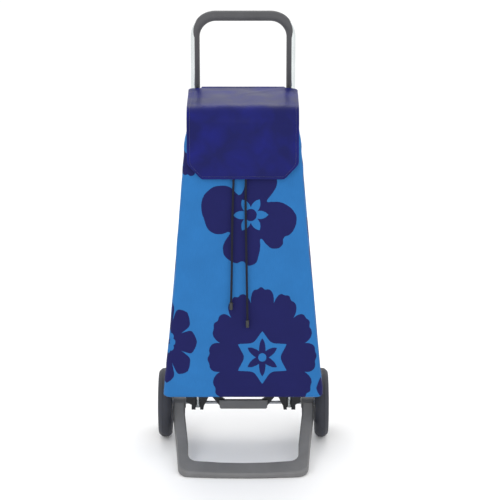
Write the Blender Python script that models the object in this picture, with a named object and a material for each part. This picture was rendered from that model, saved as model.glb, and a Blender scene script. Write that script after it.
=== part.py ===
"""A folding shopping trolley on two wheels.

A bag hangs on a U-bent tube handle. The tube stands in a moulded bridge on the
wheel axle, and a loop-shaped foot folds up against the bag. Metres, +Z up, the
front towards -Y. The origin is on the floor, in the middle of the base.
"""

import math

import bmesh
import bpy
from mathutils import Vector

# ---------------------------------------------------------------- driving sizes

HANDLE_HEIGHT = 1.040  # floor to the top of the grip
OVERALL_WIDTH = 0.405  # across the outer faces of the tyres

WHEEL_DIAMETER = 0.165
TYRE_WIDTH = 0.032
TYRE_DEPTH = 0.020  # tread to the rim's seat
TYRE_SHOULDER = 0.008
RIM_WIDTH = 0.024
RIM_DEPTH = 0.009
HUB_DIAMETER = 0.032
SPOKE_COUNT = 5
SPOKE_THICKNESS = 0.006
BUSH_WALL = 0.002
CAP_DIAMETER = 0.024
CAP_HEIGHT = 0.0065

AXLE_DIAMETER = 0.008
WASHER_DIAMETER = 0.018
WASHER_THICKNESS = 0.0014

TUBE_DIAMETER = 0.018
TUBE_WALL = 0.0014
TUBE_SPACING = 0.218  # between the centres of the handle's legs
TUBE_LEAD = 0.018  # the tube stands this far in front of the axle
TUBE_DROP = 0.0025  # its ends reach this far below the axle's centre
HANDLE_CORNER = 0.048  # bend radius at the tube's centre
GRIP_WALL = 0.0020
GRIP_FIT = 0.0005  # radial, between the grip and the tube
GRIP_SLIT = math.radians(3)  # where the sleeve is all but closed
GRIP_OPEN = math.radians(180)  # where it covers half of each leg

FOOT_REACH = 0.255  # axle to the foot's front edge
FOOT_CLEARANCE = 0.0025  # between its hubs and the tyres
FOOT_HUB_LENGTH = 0.0295
FOOT_TAPER = 0.020  # each side draws in this far towards the front
FOOT_LEG = 0.0285  # width of a leg
FOOT_BAR = 0.040  # depth of the front bar
FOOT_THICKNESS = 0.018
FOOT_BOW = 0.006  # the front edge bows out this far
FOOT_REAR_TOP = 0.008  # the top face starts this far above the axle's centre
FOOT_FRONT_TOP = 0.0125  # height of its front edge
FOOT_CORNER = 0.030
FOOT_EDGE = 0.0035  # chamfer along the loop
FOOT_HUB_DIAMETER = 0.027
FOOT_BUSH_WALL = 0.0015

BRIDGE_DROP = 0.0055  # the brackets reach this far below the axle's centre
BRIDGE_HEIGHT = 0.0825  # and the bridge this far above it
BRIDGE_ARCH = 0.0375  # the opening's top, above the axle's centre
BRIDGE_FRONT = 0.033  # its front face, ahead of the axle
BRIDGE_BACK = 0.012
BRACKET_WIDTH = 0.028
BRACKET_SLOT = 0.011  # the open channel in front of each tube end

LEVER_HALF_WIDTH = 0.0565
LEVER_EAR_SPACING = 0.149
LEVER_EAR_WIDTH = 0.008
LEVER_GAP = 0.086  # the finger gap above the pad
LEVER_THICKNESS = 0.006
LEVER_PAD_HEIGHT = 0.024
LEVER_PAD_THICKNESS = 0.003
LEVER_DROP = 0.0015  # the pad's lower edge, below the axle's centre
LEVER_SLOPE = 0.226  # the lever leans back by this share of its height
PIN_DIAMETER = 0.004
PIN_LEAD = 0.0445  # the pin, ahead of the axle
PIN_LIFT = 0.0595  # and above it
LUG_WIDTH = 0.008

BAG_LIFT = 0.1075  # the bag's underside, above the axle's centre
BAG_HEIGHT = 0.595  # underside to shoulders
BAG_BACK = 0.0375  # the bag's back, ahead of the axle
BAG_WIDTH = 0.366
BAG_DEPTH = 0.1895
BAG_SHOULDER_WIDTH = 0.258
BAG_SHOULDER_DEPTH = 0.1625
BAG_MOUTH_WIDTH = 0.184
BAG_MOUTH_DEPTH = 0.105
BAG_NECK = 0.063  # shoulders to mouth
BAG_WALL = 0.003
BAG_CORNER = 0.018
CASING_HEIGHT = 0.013
CASING_THICKNESS = 0.007
EYELET_SPACING = 0.028
EYELET_DIAMETER = 0.011
EYELET_THICKNESS = 0.0015
CORD_DIAMETER = 0.005
CORD_END_DIAMETER = 0.008
CORD_END_LENGTH = 0.018

BOARD_THICKNESS = 0.004
BACK_BOARD_THICKNESS = 0.002
BACK_BOARD_WIDTH = 0.210
SHELF_THICKNESS = 0.004
SHELF_DEPTH = 0.066
SHELF_WIDTH = 0.240

CROSSPIECE_HEIGHT = 0.022
CROSSPIECE_DEPTH = 0.018
CROSSPIECE_DROP = 0.017  # its centre, below the bag's mouth
COLLAR_DIAMETER = 0.027
COLLAR_HEIGHT = 0.030
HOOK_SPACING = 0.110
HOOK_WIDTH = 0.022
HOOK_THICKNESS = 0.0025
HOOK_LEG = 0.048

FLAP_LIFT = 0.0205  # the flap's upper face, above the bag's mouth
FLAP_THICKNESS = 0.0025
FLAP_WIDTH = 0.246
FLAP_TONGUE_WIDTH = 0.188
FLAP_HINGE = 0.036  # the hinge line, ahead of the axle
FLAP_REACH = 0.215  # the front panel, ahead of the axle
FLAP_DROP = 0.164  # upper face to the front panel's lower edge
FLAP_BEND = 0.035
FLAP_CORNER_WIDTH = 0.031
FLAP_CORNER_HEIGHT = 0.034
BAND_THICKNESS = 0.0015
BAND_REACH = 0.011  # the band's top runs this far behind the hinge line

SCREW_HEAD_DIAMETER = 0.008
SCREW_HEAD_HEIGHT = 0.002
SCREW_DIAMETER = 0.004

GAP = 0.0003  # between pieces that touch
RUNNING = 0.0001  # radial clearance of a turning fit
SWING = 0.0015  # between pieces that pass each other

# ---------------------------------------------------------------- derived places

AXLE_Z = WHEEL_DIAMETER / 2
AXLE_Y = (FOOT_REACH - WHEEL_DIAMETER / 2) / 2
AXLE_RADIUS = AXLE_DIAMETER / 2
TUBE_RADIUS = TUBE_DIAMETER / 2
TUBE_HALF = TUBE_SPACING / 2
WHEEL_OUT = OVERALL_WIDTH / 2
WHEEL_IN = WHEEL_OUT - TYRE_WIDTH
WHEEL_MID = (WHEEL_OUT + WHEEL_IN) / 2
FOOT_HALF = WHEEL_IN - FOOT_CLEARANCE
FOOT_HUB_IN = FOOT_HALF - FOOT_HUB_LENGTH
BRIDGE_HALF_WIDTH = FOOT_HUB_IN - SWING
BAG_BASE_Z = AXLE_Z + BAG_LIFT
SHOULDER_Z = BAG_BASE_Z + BAG_HEIGHT
MOUTH_Z = SHOULDER_Z + BAG_NECK
FLAP_Z = MOUTH_Z + FLAP_LIFT


def ahead(distance):
    """The Y of a place this far in front of the axle."""
    return AXLE_Y - distance


# ---------------------------------------------------------------- finishes

FINISHES = {
    "anodised_tube": ((0.62, 0.63, 0.64), 0.28, 1.0),
    "zinc_steel": ((0.55, 0.55, 0.54), 0.35, 1.0),
    "grey_plastic": ((0.16, 0.16, 0.16), 0.50, 0.0),
    "black_plastic": ((0.018, 0.018, 0.020), 0.45, 0.0),
    "tyre_rubber": ((0.012, 0.013, 0.022), 0.60, 0.0),
    "nylon": ((0.60, 0.59, 0.56), 0.50, 0.0),
    "printed_canvas": ((0.035, 0.22, 0.52), 0.80, 0.0),
    "indigo_vinyl": ((0.028, 0.023, 0.150), 0.35, 0.0),
    "dark_cord": ((0.014, 0.014, 0.020), 0.85, 0.0),
    "board": ((0.10, 0.10, 0.11), 0.70, 0.0),
}


def finish_material(name):
    found = bpy.data.materials.get(name)
    if found:
        return found
    colour, roughness, metallic = FINISHES[name]
    made = bpy.data.materials.new(name)
    made.use_nodes = True
    shader = made.node_tree.nodes["Principled BSDF"]
    shader.inputs["Base Color"].default_value = (*colour, 1.0)
    shader.inputs["Roughness"].default_value = roughness
    shader.inputs["Metallic"].default_value = metallic
    made.diffuse_color = (*colour, 1.0)
    return made


# ---------------------------------------------------------------- shape tools


def add_piece(name, shape, finish=None, origin=(0, 0, 0)):
    """Turns a bmesh into an object whose origin is at the given place."""
    bmesh.ops.recalc_face_normals(shape, faces=shape.faces)
    bmesh.ops.translate(shape, verts=shape.verts, vec=-Vector(origin))
    mesh = bpy.data.meshes.new(name)
    shape.to_mesh(mesh)
    shape.free()
    mesh.shade_smooth()
    mesh.set_sharp_from_angle(angle=math.radians(32))
    piece = bpy.data.objects.new(name, mesh)
    piece.location = origin
    bpy.context.scene.collection.objects.link(piece)
    if finish:
        mesh.materials.append(finish_material(finish))
    return piece


def combine(target, operation, helper):
    """Joins a helper to a piece, or cuts it away. The helper itself isn't shown."""
    modifier = target.modifiers.new(helper.name, "BOOLEAN")
    modifier.operation = operation
    modifier.solver = "EXACT"
    modifier.object = helper
    helper.hide_render = True
    helper.display_type = "WIRE"
    return target


def loft(rings, around=False):
    """A skin over rings of points. It closes on itself, or has a cap at each end."""
    shape = bmesh.new()
    rows = [[shape.verts.new(point) for point in ring] for ring in rings]
    pairs = list(zip(rows, rows[1:]))
    if around:
        pairs.append((rows[-1], rows[0]))
    for row, after in pairs:
        for i in range(len(row)):
            j = (i + 1) % len(row)
            shape.faces.new((row[i], row[j], after[j], after[i]))
    if not around:
        shape.faces.new(rows[0])
        shape.faces.new(rows[-1])
    return shape


def circle(radius, count, place):
    """Points on a circle, with one exactly at each quarter. place(a, b) gives the point."""
    turns = [2 * math.pi * i / count for i in range(count)]
    return [place(radius * math.cos(t), radius * math.sin(t)) for t in turns]


def turned(profile, count, along, centre, hollow=False):
    """Turns (station, radius) points round the line along X, Y or Z through centre."""
    cx, cy, cz = centre
    place = {
        "X": lambda s: lambda a, b: (cx + s, cy + a, cz + b),
        "Y": lambda s: lambda a, b: (cx + b, cy + s, cz + a),
        "Z": lambda s: lambda a, b: (cx + a, cy + b, cz + s),
    }[along]
    return loft([circle(radius, count, place(s)) for s, radius in profile], hollow)


def sleeve(low, high, inner, outer):
    """The profile of a ring from low to high."""
    return [(low, inner), (low, outer), (high, outer), (high, inner)]


def rod(low, high, radius):
    return [(low, radius), (high, radius)]


def block(low, high):
    """A box between two corners."""
    (x0, y0, z0), (x1, y1, z1) = low, high
    base = [(x0, y0), (x1, y0), (x1, y1), (x0, y1)]
    return loft([[(x, y, z) for x, y in base] for z in (z0, z1)])


def prism(outline, low, high, place):
    """An outline with a thickness. place(a, b, c) gives the point at depth c."""
    return loft([[place(a, b, c) for a, b in outline] for c in (low, high)])


def mirrored(half):
    """A whole outline from its half at positive x."""
    return half + [(-a, b) for a, b in reversed(half)]


def rounded_rectangle(half_x, front, back, radius, z, steps=3):
    """Points round a rectangle with round corners, at height z."""
    points = []
    corners = (
        (half_x - radius, back - radius, 0),
        (radius - half_x, back - radius, 1),
        (radius - half_x, front + radius, 2),
        (half_x - radius, front + radius, 3),
    )
    for cx, cy, quarter in corners:
        for i in range(steps + 1):
            turn = math.pi / 2 * (quarter + i / steps)
            points.append((cx + radius * math.cos(turn), cy + radius * math.sin(turn), z))
    return points


def smooth_route(points, spacing):
    """Points about the given spacing apart on a Catmull-Rom curve through a route."""
    route = [Vector(point) for point in points]
    padded = [2 * route[0] - route[1], *route, 2 * route[-1] - route[-2]]
    found = [route[0]]
    for a, b, c, d in zip(padded, padded[1:], padded[2:], padded[3:]):
        steps = max(1, round((c - b).length / spacing))
        for i in range(1, steps + 1):
            t = i / steps
            curve = (c - a) * t + (2 * a - 5 * b + 4 * c - d) * t**2
            curve += (3 * b - a - 3 * c + d) * t**3
            found.append(b + curve / 2)
    return found


def sides():
    """Each side's name and sign. The left is towards -X."""
    return (("left", -1), ("right", 1))


# ---------------------------------------------------------------- handle

GRIP_INNER = TUBE_RADIUS + GRIP_FIT
GRIP_OUTER = GRIP_INNER + GRIP_WALL
HANDLE_TOP = HANDLE_HEIGHT - GRIP_OUTER  # the bar's centre
TUBE_END = AXLE_Z - TUBE_DROP
TUBE_Y = ahead(TUBE_LEAD)
GRIP_END = FLAP_Z - 0.013


def handle_path(low):
    """Stations (point, outward direction) up one leg, over the bar and down the other."""
    corner = (TUBE_HALF - HANDLE_CORNER, HANDLE_TOP - HANDLE_CORNER)
    right = [((TUBE_HALF, low), 0.0)]
    for i in range(9):
        turn = math.pi / 2 * i / 8
        x = corner[0] + HANDLE_CORNER * math.cos(turn)
        z = corner[1] + HANDLE_CORNER * math.sin(turn)
        right.append(((x, z), turn))
    left = [((-x, z), math.pi - turn) for (x, z), turn in reversed(right)]
    stations = []
    for (x, z), turn in right + left:
        outward = Vector((math.cos(turn), 0, math.sin(turn)))
        stations.append((Vector((x, TUBE_Y, z)), outward))
    return stations


def tube_ring(station, radius, count=16):
    point, outward = station
    back = Vector((0, 1, 0))
    return circle(radius, count, lambda a, b: point + outward * a + back * b)


def make_handle_tube():
    path = handle_path(TUBE_END)
    outer = [tube_ring(station, TUBE_RADIUS) for station in path]
    inner = [tube_ring(station, TUBE_RADIUS - TUBE_WALL) for station in reversed(path)]
    tube = add_piece("handle_tube", loft(outer + inner, around=True), "anodised_tube")
    for z in (CROSSPIECE_Z, BRIDGE_SCREW_Z):
        for side, sign in sides():
            hole = rod(0, TUBE_DIAMETER, SCREW_DIAMETER / 2 + GAP)
            helper = turned(hole, 12, "Y", (sign * TUBE_HALF, TUBE_Y, z))
            combine(tube, "DIFFERENCE", add_piece(f"tube_hole_{side}_{z:.3f}", helper))
    return tube


def grip_ring(station, opening, count=16):
    """A section open on the outer side: the wall's outer face, then its inner face."""
    point, outward = station
    back = Vector((0, 1, 0))
    turns = [opening / 2 + (2 * math.pi - opening) * i / count for i in range(count + 1)]
    faces = [(GRIP_OUTER, turn) for turn in turns]
    faces += [(GRIP_INNER, turn) for turn in reversed(turns)]
    return [point + outward * r * math.cos(t) + back * r * math.sin(t) for r, t in faces]


def make_handle_grip():
    rings = []
    for station in handle_path(GRIP_END):
        opening = GRIP_OPEN + (GRIP_SLIT - GRIP_OPEN) * station[1].z
        rings.append(grip_ring(station, opening))
    return add_piece("handle_grip", loft(rings), "grey_plastic")


# ---------------------------------------------------------------- screws


def make_screw(name, tip, facing, length):
    """A pan-head screw along Y. facing is the side that its head is on, +1 for the back."""
    head = SCREW_HEAD_DIAMETER / 2
    profile = [
        (0, SCREW_DIAMETER / 2 * 0.7),
        (0.0015, SCREW_DIAMETER / 2),
        (length, SCREW_DIAMETER / 2),
        (length, head),
        (length + SCREW_HEAD_HEIGHT * 0.6, head),
        (length + SCREW_HEAD_HEIGHT, head * 0.6),
    ]
    profile = [(facing * station, radius) for station, radius in profile]
    return add_piece(name, turned(profile, 12, "Y", tip), "zinc_steel")


# ---------------------------------------------------------------- crosspiece and hooks

CROSSPIECE_Z = MOUTH_Z - CROSSPIECE_DROP
CROSSPIECE_FRONT = TUBE_LEAD + COLLAR_DIAMETER / 2 - 0.0005
BORE = TUBE_RADIUS + GAP


def make_crosspiece():
    low = CROSSPIECE_Z - CROSSPIECE_HEIGHT / 2
    front = ahead(CROSSPIECE_FRONT)
    bar = block(
        (-TUBE_HALF, front, low),
        (TUBE_HALF, front + CROSSPIECE_DEPTH, low + CROSSPIECE_HEIGHT),
    )
    piece = add_piece("top_crosspiece", bar, "black_plastic")
    for side, sign in sides():
        centre = (sign * TUBE_HALF, TUBE_Y, CROSSPIECE_Z)
        half = COLLAR_HEIGHT / 2
        collar = turned(rod(-half, half, COLLAR_DIAMETER / 2), 24, "Z", centre)
        combine(piece, "UNION", add_piece(f"collar_{side}", collar))
    for side, sign in sides():
        centre = (sign * TUBE_HALF, TUBE_Y, CROSSPIECE_Z)
        bore = turned(rod(-COLLAR_HEIGHT, COLLAR_HEIGHT, BORE), 16, "Z", centre)
        combine(piece, "DIFFERENCE", add_piece(f"collar_bore_{side}", bore))
        hole = rod(0, COLLAR_DIAMETER, SCREW_DIAMETER / 2 + GAP)
        cutter = turned(hole, 12, "Y", centre)
        combine(piece, "DIFFERENCE", add_piece(f"collar_screw_hole_{side}", cutter))
        length = COLLAR_DIAMETER / 2 - TUBE_RADIUS + 0.004
        tip = (centre[0], TUBE_Y + COLLAR_DIAMETER / 2 + GAP - length, CROSSPIECE_Z)
        make_screw(f"{side}_crosspiece_screw", tip, 1, length)
    return piece


def strip(outline, half, centre_x):
    """A strip of even thickness with this (y, z) outline, across X."""
    return prism(outline, centre_x - half, centre_x + half, lambda y, z, x: (x, y, z))


def make_bag_hooks():
    front = ahead(CROSSPIECE_FRONT) - GAP
    back = ahead(CROSSPIECE_FRONT) + CROSSPIECE_DEPTH + GAP
    top = CROSSPIECE_Z + CROSSPIECE_HEIGHT / 2 + GAP
    wall = HOOK_THICKNESS
    outline = [
        (front - wall, top + wall - HOOK_LEG),
        (front - wall, top + wall),
        (back + wall, top + wall),
        (back + wall, top - CROSSPIECE_HEIGHT * 0.6),
        (back, top - CROSSPIECE_HEIGHT * 0.6),
        (back, top),
        (front, top),
        (front, top + wall - HOOK_LEG),
    ]
    for side, sign in sides():
        hook = strip(outline, HOOK_WIDTH / 2, sign * HOOK_SPACING / 2)
        add_piece(f"{side}_bag_hook", hook, "black_plastic")


# ---------------------------------------------------------------- bridge, shelf, axle

BRIDGE_SCREW_Z = AXLE_Z + 0.060
LEVER_PIN = (0, ahead(PIN_LEAD), AXLE_Z + PIN_LIFT)
LUG_IN = LEVER_EAR_SPACING / 2 + LEVER_EAR_WIDTH / 2 + 0.001
SHELF_Z = BAG_BASE_Z - GAP
SHELF_SCREW_X = 0.050


def facing_front(x, z, y):
    return (x, y, z)


def make_axle_bridge():
    outer = TUBE_HALF + BRACKET_WIDTH / 2 + 0.001
    inner = TUBE_HALF - BRACKET_WIDTH / 2 + 0.001
    foot = AXLE_Z - BRIDGE_DROP
    top = AXLE_Z + BRIDGE_HEIGHT
    half = [
        (inner - 0.018, AXLE_Z + BRIDGE_ARCH),
        (inner - 0.002, AXLE_Z + AXLE_RADIUS + 0.001),
        (inner, foot),
        (outer, foot),
        (outer, AXLE_Z + AXLE_RADIUS + 0.003),
        (BRIDGE_HALF_WIDTH, AXLE_Z + AXLE_RADIUS + 0.010),
        (BRIDGE_HALF_WIDTH, top - 0.020),
        (BRIDGE_HALF_WIDTH - 0.010, top),
    ]
    body = prism(mirrored(half), ahead(BRIDGE_FRONT), ahead(-BRIDGE_BACK), facing_front)
    bridge = add_piece("axle_bridge", body, "black_plastic")
    for side, sign in sides():
        lug_x = sorted((sign * LUG_IN, sign * (LUG_IN + LUG_WIDTH)))
        lug = block(
            (lug_x[0], LEVER_PIN[1] - 0.0055, LEVER_PIN[2] - 0.008),
            (lug_x[1], ahead(BRIDGE_FRONT) + 0.005, LEVER_PIN[2] + 0.0075),
        )
        combine(bridge, "UNION", add_piece(f"lever_lug_{side}", lug))
    for side, sign in sides():
        x = sign * TUBE_HALF
        bore = turned(rod(TUBE_END - GAP, top + 0.01, BORE), 16, "Z", (x, TUBE_Y, 0))
        combine(bridge, "DIFFERENCE", add_piece(f"tube_bore_{side}", bore))
        slot = block(
            (x - BRACKET_SLOT / 2, ahead(BRIDGE_FRONT) - 0.01, foot - 0.01),
            (x + BRACKET_SLOT / 2, TUBE_Y, AXLE_Z + BRIDGE_ARCH),
        )
        combine(bridge, "DIFFERENCE", add_piece(f"tube_slot_{side}", slot))
        hole = rod(-TUBE_LEAD, BRIDGE_BACK + 0.01, SCREW_DIAMETER / 2 + GAP)
        hole = turned(hole, 12, "Y", (x, AXLE_Y, BRIDGE_SCREW_Z))
        combine(bridge, "DIFFERENCE", add_piece(f"bridge_screw_hole_{side}", hole))
        length = BRIDGE_BACK + TUBE_LEAD - TUBE_RADIUS + 0.004
        tip = (x, ahead(-BRIDGE_BACK) + GAP - length, BRIDGE_SCREW_Z)
        make_screw(f"{side}_bridge_screw", tip, 1, length)
        hole = rod(-0.001, 0.012, SCREW_DIAMETER / 2 + GAP)
        place = (sign * SHELF_SCREW_X, ahead(BRIDGE_FRONT), SHELF_SCREW_Z)
        cutter = add_piece(f"shelf_hole_{side}", turned(hole, 12, "Y", place))
        combine(bridge, "DIFFERENCE", cutter)
    reach = BRIDGE_HALF_WIDTH + 0.01
    axle_bore = rod(-reach, reach, AXLE_RADIUS + RUNNING)
    axle_bore = turned(axle_bore, 24, "X", (0, AXLE_Y, AXLE_Z))
    combine(bridge, "DIFFERENCE", add_piece("bridge_axle_bore", axle_bore))
    pin_reach = LUG_IN + LUG_WIDTH + 0.01
    pin_bore = rod(-pin_reach, pin_reach, PIN_DIAMETER / 2 + RUNNING)
    combine(bridge, "DIFFERENCE", add_piece("bridge_pin_bore", turned(pin_bore, 16, "X", LEVER_PIN)))
    return bridge


SHELF_FLANGE_LOW = LEVER_PIN[2] + 0.0095
SHELF_SCREW_Z = AXLE_Z + BRIDGE_HEIGHT - 0.0065


def make_bag_shelf():
    """A ledge that the bag stands on, with a flange down the front of the bridge."""
    back = ahead(BRIDGE_FRONT) - GAP
    front = back - SHELF_DEPTH
    half = SHELF_WIDTH / 2
    under = SHELF_Z - SHELF_THICKNESS
    plate = block((-half, front, under), (half, back, SHELF_Z))
    shelf = add_piece("bag_shelf", plate, "black_plastic")
    wall = SHELF_THICKNESS
    flange = block(
        (-half + 0.006, back - wall, SHELF_FLANGE_LOW), (half - 0.006, back, under + wall / 2)
    )
    combine(shelf, "UNION", add_piece("shelf_flange", flange))
    gusset = [
        (back - wall / 2, SHELF_FLANGE_LOW + 0.002),
        (front + 0.008, under + wall / 2),
        (back - wall / 2, under + wall / 2),
    ]
    for side, sign in sides():
        rib = strip(gusset, wall / 2, sign * (half - 0.020))
        combine(shelf, "UNION", add_piece(f"shelf_gusset_{side}", rib))
    for side, sign in sides():
        x = sign * SHELF_SCREW_X
        hole = turned(
            rod(-2 * wall, wall, SCREW_DIAMETER / 2 + GAP), 12, "Y", (x, back, SHELF_SCREW_Z)
        )
        combine(shelf, "DIFFERENCE", add_piece(f"flange_hole_{side}", hole))
        length = wall + 0.010
        tip = (x, back - wall - GAP + length, SHELF_SCREW_Z)
        make_screw(f"{side}_shelf_screw", tip, -1, length)
    return shelf


def make_axle_group():
    centre = (0, AXLE_Y, AXLE_Z)
    reach = WHEEL_OUT - CAP_HEIGHT + 0.003
    chamfer = 0.0008
    profile = [
        (-reach, AXLE_RADIUS - chamfer),
        (-reach + chamfer, AXLE_RADIUS),
        (reach - chamfer, AXLE_RADIUS),
        (reach, AXLE_RADIUS - chamfer),
    ]
    add_piece("axle", turned(profile, 24, "X", centre), "zinc_steel", centre)
    bore = AXLE_RADIUS + RUNNING
    for side, sign in sides():
        near = FOOT_HALF + GAP
        washer = sleeve(sign * near, sign * (near + WASHER_THICKNESS), bore, WASHER_DIAMETER / 2)
        shape = turned(washer, 24, "X", centre, hollow=True)
        add_piece(f"{side}_axle_washer", shape, "zinc_steel", centre)
        seat = WHEEL_OUT - CAP_HEIGHT
        cap = [
            (seat, bore),
            (seat, CAP_DIAMETER / 2),
            (WHEEL_OUT - 0.0030, CAP_DIAMETER / 2),
            (WHEEL_OUT - 0.0008, CAP_DIAMETER / 2 - 0.0030),
            (WHEEL_OUT, CAP_DIAMETER / 2 - 0.0070),
        ]
        cap = [(sign * station, radius) for station, radius in cap]
        socket = [(sign * (reach + GAP), bore)]
        shape = turned(cap[::-1] + socket, 24, "X", centre)
        add_piece(f"{side}_axle_cap", shape, "grey_plastic", centre)


# ---------------------------------------------------------------- wheels


def make_wheel(side, sign):
    centre = (sign * WHEEL_MID, AXLE_Y, AXLE_Z)
    radius = WHEEL_DIAMETER / 2
    half = TYRE_WIDTH / 2
    seat = radius - TYRE_DEPTH
    shoulder = TYRE_SHOULDER
    tyre = [
        (-RIM_WIDTH / 2, seat),
        (-half, seat + 0.004),
        (-half, radius - shoulder),
        (-half + shoulder, radius),
        (half - shoulder, radius),
        (half, radius - shoulder),
        (half, seat + 0.004),
        (RIM_WIDTH / 2, seat),
    ]
    shape = turned(tyre, 48, "X", centre, hollow=True)
    add_piece(f"{side}_tyre", shape, "tyre_rubber", centre)

    felloe = seat - GAP
    felloe_profile = sleeve(-RIM_WIDTH / 2, RIM_WIDTH / 2, felloe - RIM_DEPTH, felloe)
    rim = add_piece(
        f"{side}_rim",
        turned(felloe_profile, 48, "X", centre, hollow=True),
        "grey_plastic",
        centre,
    )
    bush_outer = AXLE_RADIUS + RUNNING + BUSH_WALL
    hub_half = half - CAP_HEIGHT - 0.0005
    hub = sleeve(-half + 0.0005, hub_half, bush_outer + GAP, HUB_DIAMETER / 2)
    hub = [(sign * station, reach) for station, reach in hub]
    hub = add_piece(f"hub_{side}", turned(hub, 24, "X", centre, hollow=True))
    combine(rim, "UNION", hub)
    for i in range(SPOKE_COUNT):
        turn = 2 * math.pi * i / SPOKE_COUNT
        outward = Vector((0, math.sin(turn), math.cos(turn)))
        across = Vector((0, math.cos(turn), -math.sin(turn)))
        ends = ((HUB_DIAMETER / 2 - 0.003, 0.011), (felloe - RIM_DEPTH / 2, 0.008))
        rings = []
        for reach, wide in ends:
            middle = Vector(centre) + outward * reach
            thick = Vector((SPOKE_THICKNESS / 2, 0, 0))
            wide = across * wide
            rings.append(
                [middle - wide - thick, middle + wide - thick, middle + wide + thick, middle - wide + thick]
            )
        combine(rim, "UNION", add_piece(f"spoke_{side}_{i}", loft(rings)))
    bush = sleeve(-half + 0.001, hub_half - 0.0005, AXLE_RADIUS + RUNNING, bush_outer)
    bush = [(sign * station, reach) for station, reach in bush]
    shape = turned(bush, 24, "X", centre, hollow=True)
    add_piece(f"{side}_hub_bush", shape, "nylon", centre)


# ---------------------------------------------------------------- foot


def foot_top(distance):
    """Height of the foot's upper face, this far in front of the axle."""
    rear = AXLE_Z + FOOT_REAR_TOP
    return rear + (FOOT_FRONT_TOP - rear) * distance / FOOT_REACH


def foot_under(distance):
    return max(0.0, foot_top(distance) - FOOT_THICKNESS)


def foot_outline():
    """Stations (outer, inner) round the right half, each an (x, distance) pair."""
    wide = FOOT_HALF
    front = FOOT_HALF - FOOT_TAPER
    shoulder = FOOT_REACH - FOOT_BOW - FOOT_CORNER
    inner_front = FOOT_REACH - FOOT_BAR
    inner_corner = FOOT_CORNER * 0.8
    stations = [
        ((wide, 0.0), (wide - FOOT_LEG, 0.0)),
        ((wide, 0.045), (wide - FOOT_LEG, 0.045)),
        ((wide - 0.011, 0.150), (wide - FOOT_LEG - 0.0105, 0.150)),
    ]
    for i in range(6):
        turn = math.pi / 2 * i / 5
        outer = (
            front + 0.003 - FOOT_CORNER + FOOT_CORNER * math.cos(turn),
            shoulder + FOOT_CORNER * math.sin(turn),
        )
        inner = (
            wide - FOOT_LEG - 0.0115 - inner_corner + inner_corner * math.cos(turn),
            inner_front - FOOT_BOW - inner_corner + inner_corner * math.sin(turn),
        )
        stations.append((outer, inner))
    for share in (0.5, 0.0):
        bow = FOOT_BOW * (1 - share**2)
        outer = (front * 0.8 * share, FOOT_REACH - FOOT_BOW + bow)
        inner = (front * 0.7 * share, inner_front - FOOT_BOW + bow)
        stations.append((outer, inner))
    return stations


def foot_flat_start():
    """Where the underside comes down to the floor."""
    rear = AXLE_Z + FOOT_REAR_TOP
    return (rear - FOOT_THICKNESS) * FOOT_REACH / (rear - FOOT_FRONT_TOP)


def foot_section(outer, inner):
    """Eight points round the loop's bar between its outer and inner edge."""
    edge = FOOT_EDGE
    outer, inner = Vector(outer), Vector(inner)
    step = (inner - outer).normalized() * edge
    flat = foot_flat_start()
    share = 0.5
    if inner.y < flat < outer.y - edge * 1.5:
        share = (outer.y - flat) / (outer.y - inner.y)
    middle = outer.lerp(inner, share)
    spots = [
        (outer, foot_under(outer.y) + edge),
        (outer, foot_top(outer.y) - edge),
        (outer + step, foot_top((outer + step).y)),
        (inner - step, foot_top((inner - step).y)),
        (inner, foot_top(inner.y) - edge),
        (inner, foot_under(inner.y) + edge),
        (inner - step, foot_under((inner - step).y)),
        (middle, foot_under(middle.y)),
        (outer + step, foot_under((outer + step).y)),
    ]
    return [(spot.x, ahead(spot.y), z) for spot, z in spots]


def make_foot():
    centre = (0, AXLE_Y, AXLE_Z)
    right = foot_outline()
    left = [((-a, b), (-c, d)) for (a, b), (c, d) in reversed(right[:-1])]
    rings = [foot_section(*station) for station in right + left]
    foot = add_piece("foot_loop", loft(rings), "grey_plastic", centre)
    bush_outer = AXLE_RADIUS + RUNNING + FOOT_BUSH_WALL
    far = FOOT_HALF
    for side, sign in sides():
        ends = sorted((sign * FOOT_HUB_IN, sign * far))
        hub = turned(rod(*ends, FOOT_HUB_DIAMETER / 2), 24, "X", centre)
        combine(foot, "UNION", add_piece(f"foot_hub_{side}", hub, None, centre))
    for side, sign in sides():
        ends = sorted((sign * (FOOT_HUB_IN - 0.02), sign * (far + 0.01)))
        bore = turned(rod(*ends, bush_outer + GAP), 24, "X", centre)
        combine(foot, "DIFFERENCE", add_piece(f"foot_bore_{side}", bore, None, centre))
        ends = sorted((sign * (FOOT_HUB_IN + GAP), sign * (far - GAP)))
        bush = sleeve(*ends, AXLE_RADIUS + RUNNING, bush_outer)
        shape = turned(bush, 24, "X", centre, hollow=True)
        add_piece(f"{side}_foot_bush", shape, "nylon", centre)
    return foot


# ---------------------------------------------------------------- release lever

LEVER_REAR = PIN_LEAD - LEVER_THICKNESS / 2  # its rear face at the pin


def leaning(x, z, depth):
    """A point on the lever, depth in front of its rear face."""
    lean = (LEVER_PIN[2] - z) * LEVER_SLOPE
    return (x, ahead(LEVER_REAR + depth) + lean, z)


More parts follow.
